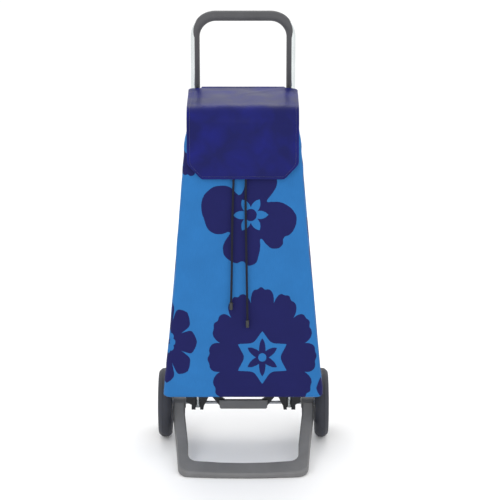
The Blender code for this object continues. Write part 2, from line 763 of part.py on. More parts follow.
def make_lever():
    low = AXLE_Z - LEVER_DROP + 0.001
    pad_top = low + LEVER_PAD_HEIGHT - 0.001
    ear_out = LEVER_EAR_SPACING / 2 + LEVER_EAR_WIDTH / 2
    ear_in = ear_out - LEVER_EAR_WIDTH
    ear_top = LEVER_PIN[2] + PIN_DIAMETER + 0.001
    arm_low = AXLE_Z + BRIDGE_ARCH
    half = [
        (LEVER_GAP / 2, pad_top),
        (ear_in, arm_low + 0.006),
        (ear_in, ear_top),
        (ear_out, ear_top),
        (ear_out, arm_low),
        (LEVER_HALF_WIDTH, low + 0.006),
        (LEVER_HALF_WIDTH - 0.004, low),
    ]
    shape = prism(mirrored(half), 0, LEVER_THICKNESS, leaning)
    frame = add_piece("lever_frame", shape, "black_plastic", LEVER_PIN)
    bore = rod(-ear_out - 0.01, ear_out + 0.01, PIN_DIAMETER / 2 + RUNNING)
    bore = add_piece("lever_bore", turned(bore, 16, "X", LEVER_PIN), None, LEVER_PIN)
    combine(frame, "DIFFERENCE", bore)
    pad = [
        (LEVER_HALF_WIDTH + 0.001, pad_top),
        (LEVER_HALF_WIDTH, low + 0.002),
        (LEVER_HALF_WIDTH - 0.003, low - 0.001),
    ]
    near = LEVER_THICKNESS + GAP
    shape = prism(mirrored(pad), near, near + LEVER_PAD_THICKNESS, leaning)
    add_piece("lever_pad", shape, "grey_plastic", LEVER_PIN)
    reach = LUG_IN + LUG_WIDTH
    pin = rod(-reach, reach, PIN_DIAMETER / 2)
    add_piece("lever_pin", turned(pin, 16, "X", LEVER_PIN), "zinc_steel", LEVER_PIN)
    make_lever_spring()


SPRING_TURNS = 5
SPRING_WIRE = 0.0007
SPRING_RADIUS = PIN_DIAMETER / 2 + SPRING_WIRE + 0.0009
SPRING_PITCH = 0.0021


def make_lever_spring():
    """A torsion coil on the pin, with a short leg at each end."""
    steps = 10
    count = SPRING_TURNS * steps
    path = []
    for i in range(count + 1):
        turn = 2 * math.pi * i / steps
        x = SPRING_PITCH * (i / steps - SPRING_TURNS / 2)
        offset = Vector((x, SPRING_RADIUS * math.sin(turn), SPRING_RADIUS * math.cos(turn)))
        path.append(Vector(LEVER_PIN) + offset)
    path.insert(0, path[0] + Vector((0, -0.005, 0)))
    path.append(path[-1] + Vector((0, 0.004, 0)))
    rings = []
    for i, point in enumerate(path):
        ahead_of = path[min(i + 1, len(path) - 1)] - path[max(i - 1, 0)]
        side = ahead_of.cross(Vector((1, 0, 0))).normalized()
        up = side.cross(ahead_of).normalized()
        rings.append(circle(SPRING_WIRE, 6, lambda a, b: point + side * a + up * b))
    add_piece("lever_spring", loft(rings), "zinc_steel", LEVER_PIN)


# ---------------------------------------------------------------- bag


def bag_sections():
    """Outer sections (half width, front, back, corner, z), from the underside to the mouth."""
    back = BAG_BACK
    base_front = back + BAG_DEPTH
    shoulder_front = back + BAG_SHOULDER_DEPTH
    half = BAG_WIDTH / 2
    shoulder = BAG_SHOULDER_WIDTH / 2
    mouth = BAG_MOUTH_WIDTH / 2
    mouth_back = (shoulder_front + back - BAG_MOUTH_DEPTH) / 2 - 0.010
    mouth_front = mouth_back + BAG_MOUTH_DEPTH
    round_in = 0.005
    rows = [
        (half - round_in, base_front - round_in, back + round_in, 0.0),
        (half, base_front, back, round_in),
        (shoulder, shoulder_front, back, BAG_HEIGHT),
    ]
    for share, inward in ((0.45, 0.16), (0.80, 0.62), (1.0, 1.0)):
        rows.append(
            (
                shoulder + (mouth - shoulder) * inward,
                shoulder_front + (mouth_front - shoulder_front) * inward,
                back + (mouth_back - back) * inward,
                BAG_HEIGHT + BAG_NECK * share,
            )
        )
    return [(half_x, front, back, BAG_CORNER, BAG_BASE_Z + z) for half_x, front, back, z in rows]


def bag_ring(section, inset=0.0, lift=0.0):
    half_x, front, back, corner, z = section
    return rounded_rectangle(
        half_x - inset, ahead(front - inset), ahead(back + inset), corner - inset, z + lift
    )


def make_bag():
    sections = bag_sections()
    outer = [bag_ring(section) for section in sections]
    inner = [bag_ring(section, BAG_WALL) for section in reversed(sections[1:])]
    inner.append(bag_ring(sections[0], BAG_WALL, BAG_WALL))
    add_piece("bag_body", loft(outer + inner), "printed_canvas")

    mouth = sections[-1]
    low = MOUTH_Z + GAP
    casing = [
        (0.0, low + 0.002),
        (0.0, low + CASING_HEIGHT - 0.002),
        (0.002, low + CASING_HEIGHT),
        (CASING_THICKNESS - 0.002, low + CASING_HEIGHT),
        (CASING_THICKNESS, low + CASING_HEIGHT - 0.002),
        (CASING_THICKNESS, low + 0.002),
        (CASING_THICKNESS - 0.002, low),
        (0.002, low),
    ]
    rings = [bag_ring(mouth, inset, z - mouth[4]) for inset, z in casing]
    add_piece("drawstring_casing", loft(rings, around=True), "indigo_vinyl")

    front = ahead(mouth[1])
    eyelet_z = low + CASING_HEIGHT / 2
    eyelet = sleeve(-GAP, -GAP - EYELET_THICKNESS, CORD_DIAMETER / 2 + GAP, EYELET_DIAMETER / 2)
    for side, sign in sides():
        place = (sign * EYELET_SPACING / 2, front, eyelet_z)
        shape = turned(eyelet, 16, "Y", place, hollow=True)
        add_piece(f"{side}_eyelet", shape, "zinc_steel", place)


# Each route's points are (x, distance ahead of the axle, z), from its eyelet to its end.
DRAWSTRING_ROUTES = {
    "left": [
        (-0.0140, 0.1640, 0.8548),
        (-0.0140, 0.1700, 0.8546),
        (-0.0142, 0.1800, 0.8490),
        (-0.0146, 0.1900, 0.8370),
        (-0.0152, 0.1985, 0.8190),
        (-0.0160, 0.2035, 0.8000),
        (-0.0168, 0.2050, 0.7780),
        (-0.0186, 0.2068, 0.7400),
        (-0.0206, 0.2082, 0.7000),
        (-0.0222, 0.2104, 0.6500),
        (-0.0236, 0.2126, 0.6000),
        (-0.0244, 0.2148, 0.5500),
        (-0.0250, 0.2172, 0.5000),
        (-0.0260, 0.2196, 0.4500),
        (-0.0268, 0.2215, 0.4205),
    ],
    "right": [
        (0.0140, 0.1640, 0.8548),
        (0.0140, 0.1700, 0.8546),
        (0.0137, 0.1800, 0.8490),
        (0.0130, 0.1900, 0.8370),
        (0.0120, 0.1985, 0.8190),
        (0.0108, 0.2035, 0.8000),
        (0.0096, 0.2050, 0.7780),
        (0.0078, 0.2068, 0.7400),
        (0.0064, 0.2082, 0.7000),
        (0.0058, 0.2104, 0.6500),
        (0.0064, 0.2126, 0.6000),
        (0.0072, 0.2148, 0.5500),
        (0.0080, 0.2172, 0.5000),
        (0.0088, 0.2196, 0.4500),
        (0.0094, 0.2216, 0.4100),
        (0.0098, 0.2234, 0.3785),
    ],
}


def make_drawstring(side):
    route = [(x, ahead(out), z) for x, out, z in DRAWSTRING_ROUTES[side]]
    points = smooth_route(route, 2.5 * CORD_DIAMETER)
    curve = bpy.data.curves.new(f"{side}_drawstring", "CURVE")
    curve.dimensions = "3D"
    curve.bevel_depth = CORD_DIAMETER / 2
    curve.bevel_resolution = 2
    curve.use_fill_caps = True
    spline = curve.splines.new("POLY")
    spline.points.add(len(points) - 1)
    for spot, point in zip(spline.points, points):
        spot.co = (*point, 1.0)
    curve.materials.append(finish_material("dark_cord"))
    cord = bpy.data.objects.new(f"{side}_drawstring", curve)
    bpy.context.scene.collection.objects.link(cord)

    end = points[-1] - Vector((0, 0, 2 * GAP))
    radius = CORD_END_DIAMETER / 2
    profile = [
        (0, radius * 0.75),
        (-0.0015, radius),
        (0.002 - CORD_END_LENGTH, radius),
        (-CORD_END_LENGTH, radius * 0.7),
    ]
    shape = turned(profile, 12, "Z", end)
    add_piece(f"{side}_cord_end", shape, "dark_cord", end)


def make_boards():
    sections = bag_sections()
    inside = BAG_WALL + 0.002
    back = BAG_BACK + BAG_WALL + GAP
    back_board = block(
        (-BACK_BOARD_WIDTH / 2, ahead(back + BACK_BOARD_THICKNESS), BAG_BASE_Z + 0.030),
        (BACK_BOARD_WIDTH / 2, ahead(back), SHOULDER_Z - 0.020),
    )
    add_piece("back_board", back_board, "board")
    half_x, front, _, _, _ = sections[0]
    half_x -= inside + BAG_CORNER * 0.3
    low = BAG_BASE_Z + BAG_WALL + GAP
    hinge = (0, ahead(back + BACK_BOARD_THICKNESS + 0.003), low + BOARD_THICKNESS / 2)
    cut = BAG_CORNER
    outline = mirrored(
        [
            (half_x - cut, hinge[1]),
            (half_x, hinge[1] - cut),
            (half_x, ahead(front - inside) + cut),
            (half_x - cut, ahead(front - inside)),
        ]
    )
    shape = prism(outline, low, low + BOARD_THICKNESS, lambda x, y, z: (x, y, z))
    add_piece("base_board", shape, "board", hinge)


# ---------------------------------------------------------------- flap

BEND_CENTRE = (ahead(FLAP_REACH - FLAP_BEND), FLAP_Z - FLAP_BEND)


def sheet_along(rows, thickness):
    """A sheet from (y, z, normal, half width) rows, its upper face on the points."""
    rings = []
    for y, z, turn, half in rows:
        inward = (-math.cos(turn) * thickness, -math.sin(turn) * thickness)
        spread = (-1, -0.5, 0, 0.5, 1)
        upper = [(half * share, y, z) for share in spread]
        lower = [(half * share, y + inward[0], z + inward[1]) for share in reversed(spread)]
        rings.append(upper + lower)
    return loft(rings)


def bend_row(turn, half):
    """A row on the flap's rounded front edge. The turn is pi/2 on top and pi in front."""
    y = BEND_CENTRE[0] + FLAP_BEND * math.cos(turn)
    z = BEND_CENTRE[1] + FLAP_BEND * math.sin(turn)
    return (y, z, turn, half)


def make_flap():
    half = FLAP_WIDTH / 2
    tongue = FLAP_TONGUE_WIDTH / 2
    up = math.pi / 2
    hinge = (0, ahead(FLAP_HINGE), FLAP_Z)
    joint_gap = GAP / FLAP_BEND
    middle = 0.75 * math.pi

    rows = [
        (ahead(FLAP_HINGE + GAP), FLAP_Z, up, tongue),
        (ahead(FLAP_HINGE + 0.003), FLAP_Z, up, tongue + 0.006),
        (ahead(FLAP_HINGE + 0.007), FLAP_Z, up, half - 0.007),
        (ahead(FLAP_HINGE + 0.014), FLAP_Z, up, half),
        (ahead((FLAP_HINGE + FLAP_REACH - FLAP_BEND) / 2), FLAP_Z, up, half),
    ]
    rows += [bend_row(up + (middle - joint_gap - up) * i / 3, half) for i in range(4)]
    add_piece("flap_top", sheet_along(rows, FLAP_THICKNESS), "indigo_vinyl", hinge)

    front = ahead(FLAP_REACH)
    bottom = FLAP_Z - FLAP_DROP
    bend = bend_row(middle, half)
    rows = [bend_row(middle + joint_gap + (math.pi - middle - joint_gap) * i / 3, half) for i in range(4)]
    rows += [
        (front, bottom + FLAP_CORNER_HEIGHT, math.pi, half),
        (front, bottom + FLAP_CORNER_HEIGHT * 0.9, math.pi, half - FLAP_CORNER_WIDTH * 0.06),
        (front, bottom + FLAP_CORNER_HEIGHT * 0.08, math.pi, half - FLAP_CORNER_WIDTH * 0.9),
        (front, bottom, math.pi, half - FLAP_CORNER_WIDTH),
    ]
    place = (0, bend[0], bend[1])
    add_piece("flap_front", sheet_along(rows, FLAP_THICKNESS), "indigo_vinyl", place)


def make_hinge_band():
    """A sewn strip from the bag's back, over the crosspiece, to the flap's hinge line."""
    wall = BAND_THICKNESS
    half = FLAP_TONGUE_WIDTH / 2
    leg_front = ahead(BAG_BACK - GAP)
    top = FLAP_Z
    rear = ahead(FLAP_HINGE - BAND_REACH)
    hook_top = CROSSPIECE_Z + CROSSPIECE_HEIGHT / 2 + HOOK_THICKNESS + 2 * GAP
    turn_z = hook_top + 0.003
    outline = [
        (ahead(FLAP_HINGE), top),
        (rear, top),
        (rear, turn_z + 0.004),
        (leg_front + wall, turn_z),
        (leg_front + wall, SHOULDER_Z - 0.020),
        (leg_front, SHOULDER_Z - 0.020),
        (leg_front, turn_z + wall),
        (rear - wall, turn_z + 0.004 + wall),
        (rear - wall, top - wall),
        (ahead(FLAP_HINGE), top - wall),
    ]
    add_piece("flap_hinge_band", strip(outline, half, 0), "indigo_vinyl")


# ---------------------------------------------------------------- the whole trolley


def clear_scene():
    for thing in list(bpy.data.objects):
        bpy.data.objects.remove(thing, do_unlink=True)


def main():
    clear_scene()
    make_handle_tube()
    make_handle_grip()
    make_crosspiece()
    make_bag_hooks()
    make_axle_bridge()
    make_bag_shelf()
    make_axle_group()
    for side, sign in sides():
        make_wheel(side, sign)
    make_foot()
    make_lever()
    make_bag()
    for side, _ in sides():
        make_drawstring(side)
    make_boards()
    make_flap()
    make_hinge_band()


main()
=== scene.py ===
import math

import bmesh
import bpy
import numpy as np
from bpy.props import FloatProperty, FloatVectorProperty, PointerProperty
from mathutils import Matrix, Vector


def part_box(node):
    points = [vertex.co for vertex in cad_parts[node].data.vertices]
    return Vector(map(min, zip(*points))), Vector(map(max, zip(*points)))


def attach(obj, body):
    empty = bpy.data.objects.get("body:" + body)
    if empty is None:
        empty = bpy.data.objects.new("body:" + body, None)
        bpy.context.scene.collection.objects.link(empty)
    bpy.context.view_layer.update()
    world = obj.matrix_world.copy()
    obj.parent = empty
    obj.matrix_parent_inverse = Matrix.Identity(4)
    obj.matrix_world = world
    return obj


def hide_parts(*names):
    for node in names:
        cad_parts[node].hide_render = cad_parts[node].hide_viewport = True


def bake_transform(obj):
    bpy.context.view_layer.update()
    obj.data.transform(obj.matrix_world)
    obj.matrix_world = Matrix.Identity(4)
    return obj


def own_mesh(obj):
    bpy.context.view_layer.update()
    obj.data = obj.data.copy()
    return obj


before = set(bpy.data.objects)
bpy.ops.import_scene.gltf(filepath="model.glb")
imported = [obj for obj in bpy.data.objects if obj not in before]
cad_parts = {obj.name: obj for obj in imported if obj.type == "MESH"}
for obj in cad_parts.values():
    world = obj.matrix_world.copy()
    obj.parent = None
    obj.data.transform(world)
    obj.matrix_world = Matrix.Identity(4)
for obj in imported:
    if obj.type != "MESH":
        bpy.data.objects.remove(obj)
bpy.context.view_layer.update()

bl_info = {
    "name": "Folding shopping trolley",
    "version": (1, 0, 0),
    "blender": (4, 5, 0),
    "location": "3D View > Sidebar > Trolley",
    "description": "Builds the cloth, mouldings and metal of a folding shopping trolley round its CAD frame",
    "category": "Object",
}

# ---------------------------------------------------------------- places taken from the frame

AXLE_Y = (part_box("axle")[0][1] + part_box("axle")[1][1]) / 2
AXLE_Z = (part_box("axle")[0][2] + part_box("axle")[1][2]) / 2
BAG_LOW, BAG_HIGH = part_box("bag_body")
TUBE_LOW, TUBE_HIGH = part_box("handle_tube")
GRIP_LOW, GRIP_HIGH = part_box("handle_grip")
CASING_LOW, CASING_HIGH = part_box("drawstring_casing")
FLAP_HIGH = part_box("flap_top")[1]
FRONT_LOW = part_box("flap_front")[0]
BAND_LOW, BAND_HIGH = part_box("flap_hinge_band")
TUBE_Y = (TUBE_LOW[1] + TUBE_HIGH[1]) / 2

# ---------------------------------------------------------------- chosen sizes, in metres
# A front or a back is a distance ahead of the axle.

SHOULDER_HALF, SHOULDER_FRONT = 0.129, 0.200
MOUTH_HALF, MOUTH_FRONT, MOUTH_BACK = 0.092, 0.16125, 0.05625
# The neck, as shares of its height and of how far it is drawn in.
NECK_CURVE = ((0.0, 0.0), (0.45, 0.16), (0.8, 0.62), (1.0, 1.0))
BAG_EDGE = 0.005  # the rounded rim of the bag's underside
BOARD_COVER = 0.0022  # cloth left under the base board where the bag folds
FOLD_ANGLE = math.radians(62)  # the base board's turn when the foot is folded
GATHERS, PLEATS = 23, 46  # of the neck and of the casing, round the mouth
CASING_DEPTH, CASING_EDGE = 0.0066, 0.0030
TUBE_WALL = 0.0014
GRIP_FIT = 0.0004  # radial, between the tube and its sleeve
CORD_INSIDE = 0.005  # each drawstring's end inside the casing
HEM_INSET = 0.0062  # from the flap's edge to its stitches
BAND_DEPTH = 0.0013  # thickness of the hinge band
SHARP_ANGLE = math.radians(32)  # edges steeper than this are rounded


def ahead(distance):
    """The y of a place this far in front of the axle."""
    return AXLE_Y - distance


# ---------------------------------------------------------------- colour, nodes and finishes


def linear(code):
    """An sRGB hex colour as linear red, green, blue and alpha."""
    parts = [int(code[i : i + 2], 16) / 255 for i in (1, 3, 5)]
    return tuple(c / 12.92 if c <= 0.04045 else ((c + 0.055) / 1.055) ** 2.4 for c in parts) + (1.0,)


def add_node(tree, kind, inputs=None, **settings):
    """A node of this kind with its settings, and its inputs linked or set."""
    made = tree.nodes.new(kind)
    for name, value in settings.items():
        setattr(made, name, value)
    for key, value in (inputs or {}).items():
        if isinstance(value, bpy.types.NodeSocket):
            tree.links.new(value, made.inputs[key])
        else:
            made.inputs[key].default_value = value
    return made


def new_finish(name, **sockets):
    """An empty finish: its material, its node tree and its shader with these sockets set."""
    material = bpy.data.materials.new(name)
    material.use_nodes = True
    tree = material.node_tree
    tree.nodes.clear()
    shader = add_node(
        tree, "ShaderNodeBsdfPrincipled", {k.replace("_", " "): v for k, v in sockets.items()}
    )
    output = add_node(tree, "ShaderNodeOutputMaterial", {"Surface": shader.outputs["BSDF"]})
    material.diffuse_color = sockets.get("Base_Color", (0.5, 0.5, 0.5, 1.0))
    output.location.x = 300
    return material, tree, shader


def finish_once(make):
    """Keeps each finish, so that pieces of one material share it."""
    kept = {}

    def get():
        if "made" not in kept:
            kept["made"] = make()
        return kept["made"]

    return get


def per_mm(size):
    """The texture scale, in metre coordinates, of a feature this many millimetres across."""
    return 1000.0 / size


def moulded(name, code, grain_mm, gloss, depth, worn):
    """A moulded plastic: eroded-tool grain, slow flow marks and faint rubbing."""
    material, tree, shader = new_finish(name, Base_Color=linear(code), Roughness=gloss, IOR=1.49)
    place = add_node(tree, "ShaderNodeTexCoord").outputs["Object"]
    grain = add_node(
        tree, "ShaderNodeTexNoise", {"Vector": place, "Scale": per_mm(grain_mm), "Detail": 3.0}
    )
    flow = add_node(
        tree,
        "ShaderNodeTexNoise",
        {"Vector": place, "Scale": per_mm(45), "Detail": 4.0, "Distortion": 0.6},
    )
    rub = add_node(
        tree, "ShaderNodeTexNoise", {"Vector": place, "Scale": per_mm(9), "Detail": 8.0, "Roughness": 0.7}
    )
    rubbed = add_node(
        tree, "ShaderNodeMapRange", {0: rub.outputs["Fac"], 1: 0.60, 2: 0.76, 3: 0.0, 4: worn}
    ).outputs[0]
    shade = add_node(
        tree, "ShaderNodeMapRange", {0: flow.outputs["Fac"], 1: 0.3, 2: 0.7, 3: 0.90, 4: 1.10}
    ).outputs[0]
    tone = add_node(tree, "ShaderNodeHueSaturation", {"Value": shade, "Color": linear(code)})
    pale = linear("#9A9A9A")
    tone = add_node(
        tree, "ShaderNodeMix", {0: rubbed, 6: tone.outputs["Color"], 7: pale}, data_type="RGBA"
    ).outputs[2]
    tree.links.new(tone, shader.inputs["Base Color"])
    rough = add_node(
        tree,
        "ShaderNodeMapRange",
        {0: flow.outputs["Fac"], 1: 0.3, 2: 0.7, 3: gloss - 0.05, 4: gloss + 0.06},
    ).outputs[0]
    tree.links.new(rough, shader.inputs["Roughness"])
    bump = add_node(
        tree, "ShaderNodeBump", {"Height": grain.outputs["Fac"], "Strength": 0.35, "Distance": depth}
    )
    tree.links.new(bump.outputs["Normal"], shader.inputs["Normal"])
    return material


@finish_once
def black_polypropylene():
    """Moulded polypropylene, black: satin, with a fine eroded grain that breaks up highlights."""
    return moulded("polypropylene black, moulded", "#1B1C20", 0.9, 0.46, 0.00012, 0.05)


@finish_once
def grey_polypropylene():
    """Moulded polypropylene, mid grey: matt, slightly uneven, with a coarser grain."""
    return moulded("polypropylene grey, moulded", "#6C6C6D", 1.1, 0.52, 0.00015, 0.10)


@finish_once
def grip_vinyl():
    """Soft vinyl sleeve, extruded: matt dark grey with fine lines along its length."""
    return moulded("soft vinyl grey, extruded", "#48484B", 0.8, 0.58, 0.00015, 0.08)


@finish_once
def natural_nylon():
    """Moulded nylon, uncoloured: milky and faintly see-through at its edges."""
    material = moulded("nylon natural, moulded", "#CFCBBE", 0.8, 0.38, 0.00006, 0.0)
    shader = next(n for n in material.node_tree.nodes if n.type == "BSDF_PRINCIPLED")
    shader.inputs["Subsurface Weight"].default_value = 0.15
    shader.inputs["Subsurface Radius"].default_value = (0.002, 0.002, 0.0018)
    return material


@finish_once
def anodised_aluminium():
    """Anodised aluminium, drawn tube: bright satin metal with fine lines along the tube."""
    material, tree, shader = new_finish(
        "aluminium anodised, drawn", Base_Color=linear("#DDE2E2"), Metallic=1.0, Roughness=0.22
    )
    place = add_node(tree, "ShaderNodeTexCoord").outputs["Object"]
    along = add_node(
        tree, "ShaderNodeMapping", {"Vector": place, "Scale": (per_mm(0.8), per_mm(0.8), per_mm(60))}
    )
    lines = add_node(
        tree, "ShaderNodeTexNoise", {"Vector": along.outputs["Vector"], "Scale": 1.0, "Detail": 4.0}
    )
    cloud = add_node(tree, "ShaderNodeTexNoise", {"Vector": place, "Scale": per_mm(30), "Detail": 5.0})
    rough = add_node(
        tree, "ShaderNodeMapRange", {0: lines.outputs["Fac"], 1: 0.3, 2: 0.7, 3: 0.17, 4: 0.30}
    ).outputs[0]
    tree.links.new(rough, shader.inputs["Roughness"])
    tone = add_node(
        tree,
        "ShaderNodeMix",
        {0: cloud.outputs["Fac"], 6: linear("#E4E9E9"), 7: linear("#C9CFD0")},
        data_type="RGBA",
    ).outputs[2]
    tree.links.new(tone, shader.inputs["Base Color"])
    bump = add_node(
        tree, "ShaderNodeBump", {"Height": lines.outputs["Fac"], "Strength": 0.12, "Distance": 0.00005}
    )
    tree.links.new(bump.outputs["Normal"], shader.inputs["Normal"])
    return material


@finish_once
def zinc_steel():
    """Zinc-plated steel, turned or drawn: cool grey metal with a slightly cloudy plating."""
    material, tree, shader = new_finish(
        "steel zinc plated, turned", Base_Color=linear("#9FA2A8"), Metallic=1.0, Roughness=0.30
    )
    place = add_node(tree, "ShaderNodeTexCoord").outputs["Object"]
    cloud = add_node(tree, "ShaderNodeTexNoise", {"Vector": place, "Scale": per_mm(6), "Detail": 6.0})
    turned = add_node(
        tree, "ShaderNodeMapping", {"Vector": place, "Scale": (per_mm(0.6), per_mm(8), per_mm(8))}
    )
    marks = add_node(
        tree, "ShaderNodeTexNoise", {"Vector": turned.outputs["Vector"], "Scale": 1.0, "Detail": 3.0}
    )
    tone = add_node(
        tree,
        "ShaderNodeMix",
        {0: cloud.outputs["Fac"], 6: linear("#AEB1B6"), 7: linear("#85888F")},
        data_type="RGBA",
    ).outputs[2]
    tree.links.new(tone, shader.inputs["Base Color"])
    rough = add_node(
        tree, "ShaderNodeMapRange", {0: cloud.outputs["Fac"], 1: 0.3, 2: 0.7, 3: 0.24, 4: 0.40}
    ).outputs[0]
    tree.links.new(rough, shader.inputs["Roughness"])
    bump = add_node(
        tree, "ShaderNodeBump", {"Height": marks.outputs["Fac"], "Strength": 0.2, "Distance": 0.00004}
    )
    tree.links.new(bump.outputs["Normal"], shader.inputs["Normal"])
    return material


@finish_once
def nickel_brass():
    """Nickel-plated brass, pressed: warm bright metal of the eyelets."""
    material, tree, shader = new_finish(
        "brass nickel plated, pressed", Base_Color=linear("#B9B6AE"), Metallic=1.0, Roughness=0.25
    )
    place = add_node(tree, "ShaderNodeTexCoord").outputs["Object"]
    cloud = add_node(tree, "ShaderNodeTexNoise", {"Vector": place, "Scale": per_mm(2), "Detail": 5.0})
    rough = add_node(
        tree, "ShaderNodeMapRange", {0: cloud.outputs["Fac"], 1: 0.3, 2: 0.7, 3: 0.18, 4: 0.34}
    ).outputs[0]
    tree.links.new(rough, shader.inputs["Roughness"])
    tree.links.new(
        add_node(
            tree,
            "ShaderNodeMix",
            {0: cloud.outputs["Fac"], 6: linear("#C6C3BC"), 7: linear("#A3A098")},
            data_type="RGBA",
        ).outputs[2], shader.inputs["Base Color"]
    )
    return material


@finish_once
def tyre_rubber():
    """Moulded rubber, near black with a blue cast: dull, fine-grained, a little dusty on the tread."""
    material, tree, shader = new_finish(
        "rubber black, moulded", Base_Color=linear("#24262F"), Roughness=0.62, IOR=1.52
    )
    place = add_node(tree, "ShaderNodeTexCoord").outputs["Object"]
    grain = add_node(tree, "ShaderNodeTexNoise", {"Vector": place, "Scale": per_mm(0.9), "Detail": 4.0})
    cloud = add_node(tree, "ShaderNodeTexNoise", {"Vector": place, "Scale": per_mm(16), "Detail": 6.0})
    dust = add_node(
        tree, "ShaderNodeMapRange", {0: cloud.outputs["Fac"], 1: 0.45, 2: 0.80, 3: 0.0, 4: 0.16}
    ).outputs[0]
    tone = add_node(
        tree, "ShaderNodeMix", {0: dust, 6: linear("#24262F"), 7: linear("#565966")}, data_type="RGBA"
    ).outputs[2]
    tree.links.new(tone, shader.inputs["Base Color"])
    rough = add_node(
        tree, "ShaderNodeMapRange", {0: cloud.outputs["Fac"], 1: 0.3, 2: 0.7, 3: 0.54, 4: 0.72}
    ).outputs[0]
    tree.links.new(rough, shader.inputs["Roughness"])
    bump = add_node(
        tree, "ShaderNodeBump", {"Height": grain.outputs["Fac"], "Strength": 0.4, "Distance": 0.0001}
    )
    tree.links.new(bump.outputs["Normal"], shader.inputs["Normal"])
    return material


@finish_once
def pressed_board():
    """Wood-fibre board, pressed: dull grey-brown with short fibres."""
    material, tree, shader = new_finish(
        "fibreboard grey, pressed", Base_Color=linear("#7E7A72"), Roughness=0.85
    )
    place = add_node(tree, "ShaderNodeTexCoord").outputs["Object"]
    spread = add_node(
        tree, "ShaderNodeMapping", {"Vector": place, "Scale": (per_mm(3), per_mm(1), per_mm(1))}
    )
    fibre = add_node(
        tree, "ShaderNodeTexNoise", {"Vector": spread.outputs["Vector"], "Scale": 1.0, "Detail": 8.0}
    )
    tree.links.new(
        add_node(
            tree,
            "ShaderNodeMix",
            {0: fibre.outputs["Fac"], 6: linear("#8D887E"), 7: linear("#66625A")},
            data_type="RGBA",
        ).outputs[2], shader.inputs["Base Color"]
    )
    bump = add_node(
        tree, "ShaderNodeBump", {"Height": fibre.outputs["Fac"], "Strength": 0.5, "Distance": 0.0003}
    )
    tree.links.new(bump.outputs["Normal"], shader.inputs["Normal"])
    return material


@finish_once
def braided_polyester():
    """Polyester cord, braided: near-black navy with a silky thread on each strand."""
    material, tree, shader = new_finish(
        "polyester navy, braided",
        Base_Color=linear("#0D0F20"),
        Roughness=0.65,
        Specular_IOR_Level=0.25,
        Sheen_Weight=0.05,
        Sheen_Roughness=0.4,
    )
    place = add_node(tree, "ShaderNodeTexCoord").outputs["Object"]
    thread = add_node(tree, "ShaderNodeTexNoise", {"Vector": place, "Scale": per_mm(0.8), "Detail": 5.0})
    tree.links.new(
        add_node(
            tree,
            "ShaderNodeMix",
            {0: thread.outputs["Fac"], 6: linear("#090A16"), 7: linear("#15182E")},
            data_type="RGBA",
        ).outputs[2], shader.inputs["Base Color"]
    )
    bump = add_node(
        tree, "ShaderNodeBump", {"Height": thread.outputs["Fac"], "Strength": 0.5, "Distance": 0.0002}
    )
    tree.links.new(bump.outputs["Normal"], shader.inputs["Normal"])
    return material


@finish_once
def cord_end_plastic():
    """Moulded plastic, charcoal: the glossier ends of the drawstrings."""
    return moulded("ABS charcoal, moulded", "#2C2D2D", 0.8, 0.40, 0.00005, 0.05)


@finish_once
def sewing_thread():
    """Polyester sewing thread, twisted: navy, with a slight shine."""
    material, tree, shader = new_finish(
        "polyester thread navy, twisted", Base_Color=linear("#1C1F4A"), Roughness=0.45, Sheen_Weight=0.3
    )
    place = add_node(tree, "ShaderNodeTexCoord").outputs["Object"]
    twist = add_node(tree, "ShaderNodeTexNoise", {"Vector": place, "Scale": per_mm(0.6), "Detail": 2.0})
    tree.links.new(
        add_node(
            tree,
            "ShaderNodeMix",
            {0: twist.outputs["Fac"], 6: linear("#171A40"), 7: linear("#2D3268")},
            data_type="RGBA",
        ).outputs[2], shader.inputs["Base Color"]
    )
    return material


@finish_once
def sheet_vinyl():
    """Vinyl-coated cloth, calendered and embossed: satin indigo, mottled where light passes into the coat."""
    colours = bpy.context.scene.trolley_colours
    material, tree, shader = new_finish(
        "vinyl-coated cloth indigo, calendered",
        Base_Color=(*colours.flap_indigo, 1.0),
        Roughness=0.40,
        IOR=1.5,
        Specular_IOR_Level=0.16,
    )
    place = add_node(tree, "ShaderNodeTexCoord").outputs["Object"]
    mottle = add_node(
        tree, "ShaderNodeTexNoise", {
            "Vector": place, "Scale": per_mm(60), "Detail": 3.0, "Distortion": 0.3
        }
    )
    emboss = add_node(tree, "ShaderNodeTexVoronoi", {"Vector": place, "Scale": per_mm(1.4)}, feature="F1")
    fine = add_node(tree, "ShaderNodeTexNoise", {"Vector": place, "Scale": per_mm(0.9), "Detail": 3.0})
    patch = add_node(
        tree, "ShaderNodeMapRange", {0: mottle.outputs["Fac"], 1: 0.40, 2: 0.70, 3: 0.0, 4: 0.8}
    ).outputs[0]
    tone = add_node(
        tree,
        "ShaderNodeMix",
        {0: patch, 6: (*colours.flap_indigo, 1.0), 7: (*colours.flap_bright, 1.0)},
        data_type="RGBA",
    ).outputs[2]
    tree.links.new(tone, shader.inputs["Base Color"])
    rough = add_node(
        tree, "ShaderNodeMapRange", {0: mottle.outputs["Fac"], 1: 0.3, 2: 0.7, 3: 0.34, 4: 0.46}
    ).outputs[0]
    tree.links.new(rough, shader.inputs["Roughness"])
    height = add_node(
        tree, "ShaderNodeMath", {0: emboss.outputs["Distance"], 1: fine.outputs["Fac"]}, operation="ADD"
    )
    bump = add_node(
        tree, "ShaderNodeBump", {"Height": height.outputs[0], "Strength": 0.30, "Distance": 0.00012}
    )
    tree.links.new(bump.outputs["Normal"], shader.inputs["Normal"])
    return material


# ---------------------------------------------------------------- the printed flowers
# An outline is the reach of its edge round one petal, or round the whole flower,
# as shares of the flower's size. Turns run from the left, under, and round.

